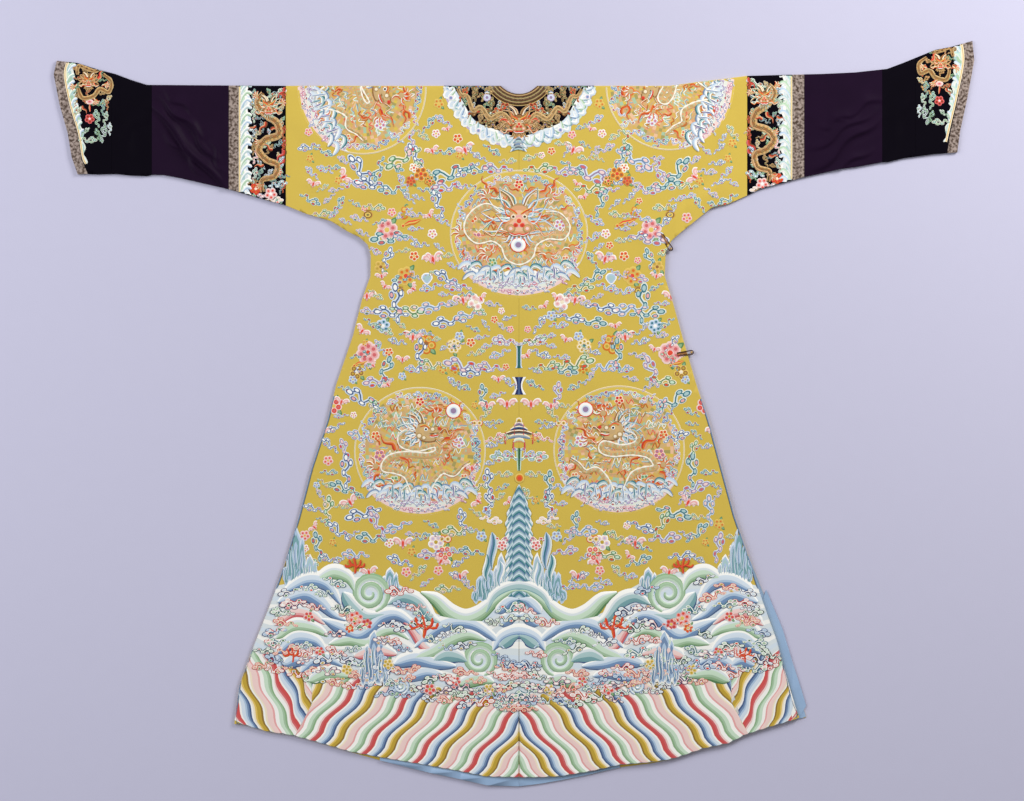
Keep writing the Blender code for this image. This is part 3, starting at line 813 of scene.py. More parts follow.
for side in (-1, 1):
    for x, y, size, tones in (
            (17, 1156, 38, ("navy", "ice", "blue")), (15, 1178, 34, ("red", "white", "blush")),
            (22, 1198, 40, ("forest", "white", "pale_green")), (18, 1222, 36, ("navy", "white", "blush")),
            (14, 1244, 32, ("brick", "cream", "pink")), (20, 1064, 36, ("forest", "white", "pale_green"))):
        cloud(waves, (side * x, y), size, 4, side, tones, "coral", 15)
waves.sew_on()

# Embroidery of the axis: a pointed mountain in chevrons of blue and green silk that
# rises from the waves on the centre seam, with emblems one above another over it.
def peak(work, x, top, base, half, layer, tones=("ice", "sky", "sea", "teal", "sea", "mist"), arch=1.1):
    """A narrow peak worked in arched rows, one thread after another down its height."""
    rows = []
    for k in range(int((base - top) / 3.2)):
        y = top + k * 3.2
        share = min(1.0, 0.42 + (k / 6.0) ** 0.6 * 0.34 + 0.24 * k * 3.2 / (base - top))
        wide = half * share * (1 + 0.08 * math.sin(k * 0.9))
        rows.append(
            [(x + wide * s, y + abs(s) ** 1.4 * half * arch, layer * 0.14 + 0.6 * (1 - s * s)
              - (0.1 if abs(s) == 1 else 0)) for s in (-1, -0.78, -0.5, -0.25, 0, 0.25, 0.5, 0.78, 1)])
    work.net(rows, lambda i, j: ("white", "ice", "sea")[i % 3] if j in (0, 7)
             else tones[(i + 2 * (j in (1, 6))) % len(tones)])


def blade(work, x, top, base, half, tones, layer):
    """A slender rock that stands beside the peak."""
    work.ribbon([(x + 3 * math.sin(k * 0.7), top + (base - top) * k / 9) for k in range(10)], lambda t: 2
                * half * (0.35 + 0.65 * math.sin(math.pi * min(1, t * 1.1)) ** 0.7), tones, 0.6, layer, 0.3)


axis = Needlework("mountain_and_emblems", "yellow_silk")
for side in (-1, 1):
    rock(axis, (side * 62, 1034), 56, 76, ("ice", "sky", "sea", "teal"), 3)
    rock(axis, (side * 36, 1030), 36, 100, ("white", "sky", "mist", "steel"), 4)
    flower(axis, (side * 34, 918), 24, 5, ("white", "pink", "rose"), "coral", False, 14)
    for x, top, base, half, tones in ((54, 892, 966, 10, ("pale", "sky", "teal", "steel", "sky", "pale")),
                                      (64, 936, 990, 8, ("ice", "sea", "teal", "mist", "white")),
                                      (38, 950, 1000, 8, ("white", "sky", "sea", "ice"))):
        blade(axis, side * x, top, base, half, tones[::side], 9)
peak(axis, 0, 796, 1044, 26, 9, ("ice", "sea", "teal", "steel", "mist"))
rod = [(0, 520 + 5.5 * k) for k in range(9)]
axis.ribbon(rod, lambda t: 10 + 6 * (t < 0.12 or t > 0.88), ("ice", "teal", "forest", "teal", "ice"), 0.5, 3,
            0.9)
axis.ribbon([(0, 582 + 5 * k) for k in range(8)], lambda t: 13 + 17 * abs(2 * t - 1) ** 2,
            ("white", "navy", "indigo", "navy", "white"), 0.5, 3, 0.95)
for k, (wide, thread, edge) in enumerate(
        ((4, "bark", "gold"), (9, "slate", "mauve"), (17, "ink", "indigo"), (27, "slate", "bark"),
         (22, "steel", "grey"), (11, "peach", "pale_green"))):
    axis.ribbon([(-wide, 668 + 8 * k + 4), (-wide / 2, 668 + 8 * k), (0, 667 + 8 * k),
                 (wide / 2, 668 + 8 * k), (wide, 668 + 8 * k + 4)], 9, (thread, edge, "cream"), 0.5, 3, 0.5)
    if k % 2:
        for across in (-wide, wide):
            axis.ribbon([(across, 668 + 8 * k), (across * 1.05, 682 + 8 * k), (across, 692 + 8 * k)], 3.4,
                        ("red", "rose"), 0.3, 4, 0.6)
axis.ribbon([(0, 724 + 5 * k) for k in range(10)], lambda t: 12 - 5 * t,
            ("pale_green", "leaf", "forest", "pale_green"), 0.5, 3, 0.9)
axis.patch(disc(placer((1, 784)), 0, 0, 10, 10), ((1.0, "bright_gold"), (0.7, "orange"), (0.4, "coral")),
           0.6, 7)
for side in (-1, 1):
    cloud(axis, (side * 32, 510), 44, 10, -side, ("white", "mauve", "ice"), "blush")
    cloud(axis, (side * 34, 742), 48, 5, -side, ("white", "green", "sky"), "rose")
    cloud(axis, (side * 60, 828), 46, 88, side, ("white", "indigo", "ice"), "coral")
    cloud(axis, (side * 44, 702), 34, 20, side, ("white", "rose", "blush"), "gold")
    cloud(axis, (side * 52, 868), 36, -10, side, ("white", "blush", "cream"), "peach", 4)
    cloud(axis, (side * 32, 908), 30, 0, side, ("white", "rose", "mauve"), "coral", 8)
axis.sew_on()

# Embroidery of the roundels: nine coiled dragons belong to such a robe, and five of
# them show on this side, at the shoulders, on the back and above the waves.
def flame(work, place, at, length, turn, tones=("peach", "orange", "red"), layer=6):
    """A tongue of flame, waving from its root."""
    spots = turned(at, turn, (
        (0, 0), (length * 0.3, length * 0.12), (length * 0.62, -length * 0.1), (length, length * 0.06)))
    work.ribbon(drawn(place, spots, 3.0), lambda t: length * 0.36 * (1 - t) + 0.8, tones, 0.4, layer, 0.5)


def claw(work, place, at, turn, nail="white", paw="tan"):
    """A paw with its spread toes and pale nails."""
    work.patch(disc(place, *at, 6.5, 8), ((1.0, "orange"), (0.7, paw)), 0.4, 6)
    for toe in (-64, -24, 16, 58, 150):
        spots = turned(at, turn + toe, ((4, 0), (10, 2), (15, -1)))
        work.ribbon(drawn(place, spots, 3.0), lambda t: 5.2 - 3.2 * t, (nail, paw, "coral"), 0.4, 7, 0.8)


def coil(work, place, spots, wide, layer=4, scales=("tan", "celadon", "peach", "sand", "fawn"), belly="sand",
         spine=("cream", "white", "cream")):
    """A dragon's body along a path: scales one way and the other, and a pale spine of spikes."""
    path = drawn(place, spots, 3.4)
    other = scales[::-1]
    work.ribbon(path, lambda t: wide * (0.58 + 0.42 * math.sin(math.pi * min(1, 0.12 + t))),
                ("fawn", scales, other, scales, other, scales, (belly, "straw"), (belly, "peach"), "tan"),
                0.9, layer, 0.4)
    aside = []
    for i, (x, y) in enumerate(path):
        back, on = path[max(0, i - 1)], path[min(len(path) - 1, i + 1)]
        run = math.hypot(on[0] - back[0], on[1] - back[1]) or 1.0
        aside.append((x - (on[1] - back[1]) / run * wide * 0.36, y + (on[0] - back[0]) / run * wide * 0.36))
    work.ribbon(aside, lambda t: 3.6 + 1.3 * math.sin(t * len(path) * 1.6), spine, 0.5, layer + 5, 0.6)


def mane(work, place, at, reach, angles, tones=(("white", "ice", "blue"), ("pale", "mist", "teal")),
         layer=6):
    """Locks of hair that wave out from a head, in two mixes of thread by turns."""
    for k, angle in enumerate(angles):
        bend = 5 if k % 2 else -4
        spots = turned(at, angle, ((9, 0), (reach * 0.6, bend), (reach, -bend)))
        work.ribbon(drawn(place, spots, 3.4), lambda t: 6.2 * (1 - t) + 1.0, tones[k % 2], 0.45, layer, 0.8)


def pearl(work, place, at):
    """A white pearl ringed in coral, with flames about it."""
    for turn in (-150, -100, -45, 0, 45, 200):
        root = (at[0] + 8 * math.cos(math.radians(turn)), at[1] + 8 * math.sin(math.radians(turn)))
        flame(work, place, root, 12, turn, ("bright_gold", "orange", "red"), 6)
    work.patch(disc(place, *at, 12, 14), ((1.0, "coral"), (0.88, "white"), (0.52, "ice"), (0.36, "mauve")),
               0.7, 8)


def head_in_profile(work, place, at):
    """A horned head that looks to its right, jaw open, with its mane blown back."""
    x, y = at
    mane(work, place, (x - 4, y), 36, (100, 114, 128, 142, 156, 170, 184, 198, 212, 226, 240, 254, 266))
    mane(work, place, (x - 2, y), 24, (120, 140, 160, 180, 200, 220, 240),
         (("white", "cream", "orange"), ("white", "ice", "indigo")), 8)
    skull = ((-12, -8), (-4, -14), (6, -11), (12, -5), (20, -9), (28, -6), (29, 0), (20, 2), (12, 3),
             (10, 8), (20, 11), (18, 15), (6, 16), (-6, 12), (-12, 4))
    work.patch(drawn(place, skull, 3.4, True, at),
               ((1.0, "brown"), (0.88, "tan"), (0.6, "sand"), (0.3, "tan")), 0.9, 9)
    for a, b, radius in ((-5, 6, 5), (2, 9, 4), (15, -4, 4.4)):
        work.patch(disc(place, x + a, y + b, radius, 8), ((1.0, "fawn"), (0.6, "cream")), 0.4, 15)
    work.patch(disc(place, x + 5, y - 4, 3.0, 8), ((1.0, "white"), (0.6, "ink")), 0.4, 16)
    work.ribbon(drawn(place, ((-4, -8), (4, -10), (11, -5)), 3, at=at), 3.6,
                ("coral", "orange", "bright_gold"), 0.4, 16)
    work.patch(disc(place, x + 25, y - 5, 2.8, 8), ((1.0, "coral"), (0.5, "red")), 0.4, 16)
    work.ribbon(drawn(place, ((10, 6), (16, 7), (24, 5)), 3, at=at), 4.2, ("white", "red", "coral"), 0.3, 15)
    for horn in (((-4, -13), (-12, -24), (-22, -27)), ((2, -14), (-2, -26), (-10, -34))):
        work.ribbon(drawn(place, horn, 3, at=at), lambda t: 5.0 - 2.6 * t, ("cream", "brown"), 0.5, 13, 0.8)
    for whisker in (((24, 2), (34, -6), (40, 4), (48, -2)), ((20, 12), (30, 20), (38, 14))):
        work.ribbon(drawn(place, whisker, 3, at=at), 2.2, ("cream", "orange"), 0.3, 12, 0.6)


def head_facing(work, place, at, fur=(("white", "ice", "blue"), ("pale", "mist", "teal")),
                skin=("fawn", "peach", "flesh", "pink")):
    """A horned head seen from the front, with flaming brows, broad muzzle, beard and mane."""
    x, y = at
    mane(work, place, (x, y - 2), 42,
         (-176, -163, -150, -138, -126, -114, -66, -54, -42, -30, -17, -4, 12, 26, 154, 168), fur)
    mane(work, place, (x, y + 2), 27, (-168, -150, -132, -48, -30, -12, 16, 34, 146, 164),
         (("cream", "orange", "coral"), fur[0]), 8)
    face = ((0, -20), (8, -18), (12, -10), (10, -2), (15, 3), (18, 10), (14, 17), (6, 20), (-6, 20),
            (-14, 17), (-18, 10), (-15, 3), (-10, -2), (-12, -10), (-8, -18))
    work.patch(drawn(place, face, 3.4, True, at), tuple(zip((1.0, 0.88, 0.62, 0.36), skin)), 1.0, 9)
    for s in (-1, 1):
        work.patch(disc(place, x + s * 9, y + 10, 5.4, 9), ((1.0, "fawn"), (0.7, "peach"), (0.35, "blush")),
                   0.5, 16)
        work.patch(disc(place, x + s * 6.2, y - 4, 2.8, 8), ((1.0, "cream"), (0.55, "bark")), 0.4, 16)
        brow = drawn(place, ((2, -7), (7, -11), (14, -15), (17, -22)), 3, False, at, s)
        work.ribbon(brow, lambda t: 5 - 3 * t, ("coral", "orange", "bright_gold"), 0.5, 17)
        work.patch(disc(place, x + s * 3.6, y + 6, 2.7, 8), ((1.0, "coral"), (0.5, "red")), 0.5, 18)
        horn = drawn(place, ((6, -17), (11, -28), (20, -35)), 3, False, at, s)
        work.ribbon(horn, lambda t: 5.4 - 3.0 * t, ("cream", "brown"), 0.5, 13, 0.8)
        whisker = drawn(place, ((12, 14), (22, 12), (28, 19), (38, 13)), 3, False, at, s)
        work.ribbon(whisker, 2.4, ("cream", "orange"), 0.3, 14, 0.6)
        for reach, out in ((34, 4), (31, 12), (26, 19)):
            beard = drawn(place, ((out * 0.5, 18), (out * 0.7, 25), (out, reach)), 3, False, at, s)
            work.ribbon(beard, lambda t: 5 * (1 - t) + 1, fur[0], 0.4, 8, 0.8)
    work.patch(disc(place, x, y + 1, 4.4, 8, 1.1), ((1.0, "flesh"), (0.6, "coral")), 0.5, 17)
    work.ribbon(drawn(place, ((-11, 15), (-5, 18), (0, 17), (5, 18), (11, 15)), 3, at=at), 5.2,
                ("brown", "white", "red", "coral"), 0.4, 17)


PROFILE_COIL = ((-12, -34), (-28, -24), (-26, -10), (-4, -4), (22, -10), (26, 0), (10, 6), (-22, 4),
                (-46, 10), (-54, 26), (-36, 30), (-20, 38), (-8, 62), (8, 66), (20, 44), (34, 30), (50, 34),
                (62, 22), (74, 14))
FACING_COIL = ((-26, -30), (-46, -42), (-66, -30), (-74, -8), (-60, 10), (-38, 7), (-22, 18), (-15, 36),
               (1, 43), (16, 34), (22, 15), (40, 4), (62, 4), (68, -12), (56, -28), (38, -30))

ROUNDEL_SCALE = 1.34    # mm on the robe for one step of a roundel's own measure, as in these:
GROUND_REACH, RING_REACH, RIM_REACH = 98, 97, 87        # its gold ground, couched ring and rim of clouds

SCATTERED_THREADS = (("cream", "sea"), ("peach", "tan"), ("white", "celadon"), ("peach", "coral"),
                     ("pale_green", "steel"), ("orange", "brown"), ("white", "moss"))
FOOT_CLOUD_THREADS = (("white", "mauve", "lilac"), ("white", "slate", "blush"), ("lilac", "rose", "white"),
                      ("white", "slate", "ice"), ("white", "steel", "lilac"))
FOOT_PEAK_THREADS = (("white", "steel", "ice"), ("ice", "teal", "mist"), ("white", "indigo", "lilac"))


def roundel(work, at, turn=0, flip=1, facing=False):
    """A dragon roundel about 260 mm across: gold ground, cloud rim, waves at its foot."""
    centred = placer(at, ROUNDEL_SCALE, turn, flip)
    wide, tall = (1.05, 0.97) if facing else (1.0, 0.98)

    def place(x, y):
        return centred(wide * x, tall * y)

    rings, ground_threads = [], ("straw", "sand", "straw", "silk", "celadon", "tan", "straw", "flesh",
                                 "peach", "moss", "sand")
    for share in (1.0, 0.982, 0.965, 0.93, 0.88, 0.83, 0.78, 0.73, 0.68, 0.63, 0.58, 0.53, 0.48, 0.43, 0.38,
                  0.33, 0.28, 0.23, 0.18, 0.13, 0.08, 0.02):
        rings.append([
            (*place(GROUND_REACH * share * math.cos(k * math.pi / 44), GROUND_REACH * share
                    * math.sin(k * math.pi / 44)), 0.34 - (0.34 if share == 1.0 else 0)) for k in range(88)])
    specks = random.Random(round(at[0]))
    work.net(rings, lambda i, j: "silk" if i < 3 else specks.choice(ground_threads), closed=True)
    work.ribbon([place(RING_REACH * math.cos(math.radians(a)), RING_REACH * math.sin(math.radians(a)))
                 for a in range(150, 391, 2)], 3.0, ("cream", "straw", "pale"), 0.3, 3, 0.9)
    for k in range(19):
        angle = math.radians(-214 + k * 13.8)
        spot = place(RIM_REACH * math.cos(angle), RIM_REACH * math.sin(angle))
        tones = (("ice", "indigo", "sky"), ("ice", "teal", "pale_green"), ("white", "mauve", "ice"),
                 ("white", "sea", "blush"), ("ice", "blue", "white"))[k % 5]
        cloud(work, spot, 29, math.degrees(angle) * flip + 90 + turn, flip * (1 if k % 2 else -1), tones,
              "coral", 3)
    for k in range(150):
        angle, reach = specks.uniform(0, 2 * math.pi), 74 * math.sqrt(specks.uniform(0.02, 1))
        x, y = reach * math.cos(angle), reach * math.sin(angle) - 6
        bend = specks.uniform(-5, 5)
        stroke = ((x - 6, y - bend), (x - 2, y + bend), (x + 2, y - bend), (x + 6, y + bend))
        work.ribbon(drawn(place, stroke, 3.2), 3.6, SCATTERED_THREADS[k % 7], 0.3, 3, 0.5)
    foot = []
    for k in range(37):
        x = -93 + k * 5.1667
        floor = math.sqrt(max(1.0, 97.5 ** 2 - x * x))
        start = min(floor - 0.5, 56 - 12 * abs(x / 92) ** 2 + 3 * math.sin(k * 1.1))
        foot.append([(*place(x, start + (floor - start) * t / 7), 0.6 - (0.5 if t in (0, 7) else 0))
                     for t in range(8)])
    work.net(foot, lambda i, j: ("white", "white", "snow", "ice", "pale", "blush", "blush")[j])
    for k in range(26):
        angle = math.radians(30 + (k % 13) * 10 + 5 * (k // 13))
        reach = 90 if k < 13 else 80
        cloud(work, place(reach * math.cos(angle), reach * math.sin(angle)), 25,
              math.degrees(angle) * flip + 90 + turn, flip * (1 if k % 2 else -1), FOOT_CLOUD_THREADS[k % 5],
              ("coral", "blush", "lilac")[k % 3], 5)
    for k in range(22):
        row, x = k % 2, -76 + 7.2 * k
        y, lean = 55 - 11 * (x / 92) ** 2 + 3 * math.sin(k * 2.1) + 12 * row, 1 if x < 0 else -1
        spots = ((x - lean * 11, y + 7), (x - lean * 4, y - 1), (x + lean * 4, y - 3), (x + lean * 9, y + 3))
        threads = (("white", "ice", "sky"), ("white", "snow", "steel"), ("white", "mist", "teal"))[k % 3]
        work.ribbon(drawn(place, spots, 3.6), lambda t: 9 * (0.45 + 0.55 * math.sin(math.pi * t)),
                    threads if (lean > 0) == (flip > 0) else threads[::-1], 0.6, 8 + row, 0.4)
    for k in range(15):
        x = -49 + 7 * k
        peak_line = [place(x + 2 * math.sin(k + t), 76 - abs(x) * 0.16 - (9 + 5 * math.sin(k * 2.3)) * t)
                     for t in (0, 0.5, 1, 1.5)]
        work.ribbon(peak_line, 5.5, FOOT_PEAK_THREADS[k % 3], 0.5, 12, 0.4)
    for spot, size, tones in (
            ((-60, 6), 22, ("blush", "rose", "mauve")), ((58, -14), 22, ("white", "lilac", "rose")),
            ((-38, 44), 18, ("pale_green", "green", "leaf")), ((66, 40), 16, ("cream", "peach", "coral")),
            ((-66, -24), 18, ("cream", "orange", "coral")), ((0, -76), 18, ("cream", "coral", "red"))):
        flower(work, place(*spot), size * 1.2, 5, tones, leaves=False, layer=4)
    if facing:
        coil(work, place, FACING_COIL, 16)
        head_facing(work, lambda x, y: place(1.3 * x, 1.3 * y + 5), (0, -20))
        pearl(work, place, (-1, 17))
        for spot, direction in (((-44, -58), 210), ((44, -58), -30), ((-82, -2), 190), ((76, 22), 20),
                                ((-44, 30), 150), ((42, 34), 40)):
            claw(work, place, spot, direction)
        for spot, length, direction in (
                ((-30, -64), 24, 215), ((30, -64), 24, -35), ((20, -20), 26, -15), ((-34, -16), 24, 200),
                ((-12, 52), 34, 178), ((34, 30), 24, 50), ((-46, -70), 20, 250), ((46, -70), 20, -60),
                ((-8, 4), 16, 190), ((8, 4), 16, -10), ((28, -30), 18, 20), ((-78, 24), 16, 100),
                ((60, -38), 16, -20), ((0, -66), 16, 200), ((8, -66), 16, -20)):
            flame(work, place, spot, length, direction)
    else:
        coil(work, place, PROFILE_COIL, 14)
        head_in_profile(work, place, (4, -30))
        if turn:
            flame(work, place, (60, -60), 24, 170)
            flame(work, place, (46, -56), 22, 20)
        else:
            pearl(work, place, (50, -62))
        for spot, direction in (((-36, 50), 160), ((44, -16), -10), ((-66, 22), 190), ((30, 62), 60),
                                ((24, -56), -60)):
            claw(work, place, spot, direction)
        for spot, length, direction in (
                ((-36, -2), 34, 225), ((-30, 0), 30, 60), ((34, -62), 30, 190), ((36, -18), 34, -30),
                ((-44, 56), 30, 200), ((14, 68), 34, 5), ((-60, 34), 24, 140), ((66, 22), 18, 60),
                ((-60, -10), 16, 250), ((-6, 30), 16, 100), ((40, 12), 18, -60)):
            flame(work, place, spot, length, direction)


for name, at, turn, flip, facing in (
        ("back_roundel", (0, 296), 0, 1, True), ("lower_left_roundel", (-198, 731), 0, 1, False),
        ("lower_right_roundel", (200, 728), 0, -1, False),
        ("left_shoulder_roundel", (-314, 6), 76, 1, False),
        ("right_shoulder_roundel", (302, -2), 76, -1, False)):
    medallion = Needlework(name, "yellow_silk")
    roundel(medallion, at, turn, flip, facing)
    medallion.sew_on()

# Embroidery of the ground: small clouds in long outlined curls, with bats, blossoms and
# lucky emblems between them, nearly alike on both sides of the seam.
GROUND_CLOUDS = (       # right and down in mm, length, turn, and which tones
    (-318, 164, 62, 50, 0), (-282, 174, 44, -70, 1), (-300, 196, 58, 10, 0), (-262, 206, 46, 0, 1),
    (-330, 198, 38, 175, 2), (-240, 150, 66, -30, 3), (-206, 138, 50, 60, 0), (-216, 118, 44, -80, 2),
    (-196, 160, 40, 40, 3), (-248, 166, 34, 200, 1), (-150, 178, 70, -18, 1), (-110, 168, 44, -30, 0),
    (-152, 204, 52, 0, 2), (-164, 228, 50, 70, 0), (-178, 212, 34, 190, 1), (-268, 306, 62, -6, 1),
    (-236, 300, 40, 10, 4), (-262, 344, 44, 110, 0), (-292, 330, 30, 200, 2), (-150, 380, 50, 30, 0),
    (-128, 402, 44, 5, 2), (-86, 168, 44, -8, 1), (-48, 166, 50, 4, 2), (-246, 428, 66, 85, 0),
    (-214, 450, 58, 185, 3), (-262, 452, 58, 5, 0), (-176, 444, 56, -10, 4), (-150, 474, 56, -6, 0),
    (-196, 532, 58, 95, 0), (-180, 558, 46, 10, 3), (-120, 556, 62, 12, 2), (-92, 572, 50, -8, 0),
    (-110, 462, 48, -10, 4), (-262, 566, 54, 110, 1), (-290, 590, 50, -8, 2), (-318, 622, 62, 30, 0),
    (-286, 642, 44, 60, 3), (-60, 560, 44, 10, 2), (-74, 614, 44, 85, 1), (-44, 534, 36, -20, 4),
    (-58, 790, 50, 85, 0), (-96, 800, 44, 0, 3), (-344, 760, 58, 90, 0), (-356, 800, 52, 20, 1),
    (-318, 858, 60, -15, 0), (-286, 872, 50, 60, 2), (-380, 840, 50, 95, 3), (-300, 906, 52, 5, 1),
    (-362, 888, 46, 40, 0), (-250, 884, 48, -20, 4), (-112, 868, 44, 80, 0), (-132, 890, 52, 0, 3),
    (-178, 938, 48, -8, 2), (-400, 916, 50, 80, 1), (-244, 950, 44, 20, 0), (-98, 930, 42, 10, 1),
    (-146, 1002, 42, 0, 3), (-330, 936, 44, 5, 4), (-34, 508, 40, 12, 2), (-238, 386, 40, -8, 1),
    (-320, 700, 44, 20, 4), (-346, 724, 40, 70, 2), (-86, 718, 36, 90, 1),
)
CLOUD_TONES = (("ice", "indigo", "white"), ("pale", "teal", "mist"), ("ice", "mauve", "blush"),
               ("cream", "leaf", "pale_green"), ("ice", "steel", "blush"))
BLOSSOM_THREADS = (("blush", "pink", "coral"), ("cream", "orange", "coral"), ("white", "blush", "rose"),
                   ("bright_gold", "straw", "orange"), ("ice", "sky", "mauve"))


def bat(work, at, size, turn, flip):
    """A bat with spread scalloped wings, in pinks with a red body."""
    place = placer(at, size / 100, turn, flip)
    wing = ((4, -4), (20, -26), (44, -30), (56, -10), (42, -8), (36, 8), (24, 2), (16, 16), (4, 10))
    for s in (-1, 1):
        work.patch(drawn(place, wing, size / 12, True, mirror=s),
                   ((1.0, "white"), (0.84, "blush"), (0.66, "pink"), (0.4, "blush")), 0.35, 3)
    body = ((0, -22), (9, -10), (8, 10), (0, 30), (-8, 10), (-9, -10))
    work.patch(drawn(place, body, size / 12, True), ((1.0, "pink"), (0.6, "coral")), 0.5, 5)


def emblem(work, at, size, kind):
    """Gourd, pot, scroll, fan and pair of coins, in a few plain cushions each."""
    place = placer(at, size / 100, 0, 1)
    if kind == 0:
        work.patch(disc(place, 0, 14, 26, 10), ((1.0, "orange"), (0.7, "gold")), 0.4, 3)
        work.patch(disc(place, 2, -20, 17, 10), ((1.0, "orange"), (0.7, "bright_gold")), 0.4, 3)
        work.ribbon(drawn(place, ((4, -34), (12, -50), (26, -46)), 3), 3, ("leaf", "green"), 0.3, 3)
    elif kind == 1:
        work.patch(disc(place, 0, 6, 30, 10, 0.8),
                   ((1.0, "honey"), (0.8, "bark"), (0.62, "bright_gold"), (0.3, "olive")), 0.4, 3)
        work.ribbon([place(-20, -20), place(0, -22), place(20, -20)], size * 0.14, ("brown", "gold"), 0.4, 4)
    elif kind == 2:
        work.ribbon([place(-42, 10), place(-14, -4), place(14, -8), place(42, -20)], size * 0.22,
                    ("orange", "bright_gold", "coral"), 0.4, 3)
        work.patch(disc(place, -44, 10, 12, 8), ((1.0, "bright_gold"), (0.5, "coral")), 0.4, 4)
    elif kind == 3:
        fan = ((0, 34), (-34, -4), (-22, -30), (0, -36), (22, -30), (34, -4))
        work.patch(drawn(place, fan, 4, True), ((1.0, "white"), (0.8, "sky"), (0.5, "mist")), 0.4, 3)
    else:
        for s in (-1, 1):
            work.patch(disc(place, s * 18, 0, 24, 10),
                       ((1.0, "coral"), (0.8, "cream"), (0.5, "bright_gold"), (0.25, "brown")), 0.4,
                       3 + (s > 0))


for side, name in ((-1, "left_ground"), (1, "right_ground")):
    ground = Needlework(name, "yellow_silk")
    jitter = random.Random(side + 5)
    for across, down, length, turn, tones in GROUND_CLOUDS:
        cloud(ground, (-side * across + jitter.uniform(-3, 3), down + jitter.uniform(-3, 3)), length, turn,
              -side, CLOUD_TONES[(tones + (side > 0)) % 5], ("pink", "rose", "coral", "blush")[tones % 4])
    for across, down, size, turn in (
            (108, 128, 44, 20), (350, 182, 40, -60), (172, 346, 46, 15), (304, 420, 40, 0),
            (212, 502, 44, -5), (112, 428, 44, 10), (392, 688, 42, -20), (338, 832, 44, 30),
            (232, 914, 46, 0), (94, 764, 36, 0), (64, 640, 36, 0), (300, 972, 40, 10), (118, 980, 38, 10),
            (156, 950, 40, -30), (24, 636, 44, 0)):
        bat(ground, (side * across, down), size * 0.88, turn, side)
    for across, down, size, petals, tones, heart in (
            (264, 288, 48, 6, ("blush", "pink", "rose"), "bright_gold"),
            (226, 380, 42, 6, ("bright_gold", "straw", "orange"), "coral"),
            (302, 534, 52, 7, ("blush", "pink", "rose"), "coral"),
            (130, 520, 36, 7, ("bright_gold", "cream", "gold"), "teal"),
            (186, 516, 44, 5, ("orange", "bright_gold", "gold"), "brown"),
            (86, 432, 38, 4, ("white", "blush", "pink"), "cream"),
            (324, 572, 34, 5, ("bright_gold", "brown", "gold"), "cream"),
            (166, 912, 36, 5, ("white", "blush", "lilac"), "gold"),
            (272, 480, 32, 6, ("ice", "sky", "teal"), "white"),
            (148, 934, 34, 5, ("cream", "coral", "pink"), "gold"),
            (370, 640, 36, 5, ("blush", "coral", "rose"), "bright_gold"),
            (330, 404, 34, 5, ("cream", "orange", "pink"), "gold"),
            (128, 566, 26, 5, ("bright_gold", "gold", "orange"), "coral"),
            (276, 362, 30, 5, ("bright_gold", "straw", "gold"), "brown")):
        flower(ground, (side * across, down), size, petals, tones, heart, petals != 4)
    for across, down, size, kind in ((230, 254, 34, 0), (302, 256, 34, 1), (214, 276, 40, 2),
                                     (184, 386, 34, 3), (148, 906, 32, 4), (84, 674, 28, 4),
                                     (316, 556, 30, 2), (346, 388, 30, 4), (238, 408, 30, 1)):
        emblem(ground, (side * across, down), size, kind)
    taken = [(abs(x), y, length * 0.36) for x, y, length, turn, tones in GROUND_CLOUDS]
    taken += [(2, 298, 134), (200, 730, 134), (308, 2, 134), (0, 640, 40), (0, 900, 60), (60, 960, 44),
              (0, -34, 158), (290, 960, 40)]
    chance = random.Random(11)
    for attempt in range(6000):
        x, y = chance.uniform(16, 446), chance.uniform(14, 1000)
        size = chance.uniform(19, 32)
        if y > 420:
            edge = side_edge(side, y)
        else:
            edge = min(446.0, abs(edge_from(side * 120, side * 640, y, True)))
        crowded = any(math.hypot(x - a, y - b) < c + size * 0.43 for a, b, c in taken)
        if crowded or x > edge - 16 or y > skyline(x) - 24:
            continue
        taken.append((x, y, size * 0.43))
        kind = chance.randrange(10)
        turn, pick = chance.uniform(-40, 60), chance.randrange(5)
        if kind < 7 or attempt % 8 == 0:
            cloud(ground, (side * x, y), size * 1.15, turn, side * (1 if pick % 2 else -1),
                  CLOUD_TONES[pick], ("pink", "coral", "leaf")[pick % 3])
        elif kind < 9:
            flower(ground, (side * x, y), size * 0.8, 5, BLOSSOM_THREADS[pick], "bright_gold", pick > 2)
        else:
            bat(ground, (side * x, y), size, turn, side)
    for across, down, size, tones in (
            (196, 176, 34, ("bright_gold", "orange", "brown")), (216, 190, 24, ("honey", "coral", "brown")),
            (178, 190, 24, ("orange", "bright_gold", "bark")), (210, 164, 22, ("white", "cream", "orange"))):
        flower(ground, (side * across, down), size, 5, tones, "coral", size < 30, 5)
    ground.sew_on()

# Embroidery of the collar: a facing dragon among tan, green and grey clouds on the black
# satin, inside a rim of breaking waves that covers the seam to the yellow silk.
def on_collar(radius, angle):
    """A place on the collar, from the middle of the neck, with 90 degrees on the centre seam."""
    return radius * math.cos(math.radians(angle)), -34 + radius * math.sin(math.radians(angle))


def scatter_clouds(work, tries, spans, gap, head, measured, place, lengths, side, tones, tips):
    """Small clouds wherever there is room, none too near to another or to the dragon's head."""
    placed = []
    for attempt in range(tries):
        x, y = measured(scraps.uniform(*spans[0]), scraps.uniform(*spans[1]))
        near_another = any(math.hypot(x - a, y - b) < gap for a, b in placed)
        if near_another or math.hypot(x - head[0], y - head[1]) < head[2]:
            continue
        placed.append((x, y))
        cloud(work, place(x, y), scraps.uniform(*lengths), scraps.uniform(0, 180),
              side * scraps.choice((-1, 1)), scraps.choice(tones),
              tips if isinstance(tips, str) else scraps.choice(tips), 3)


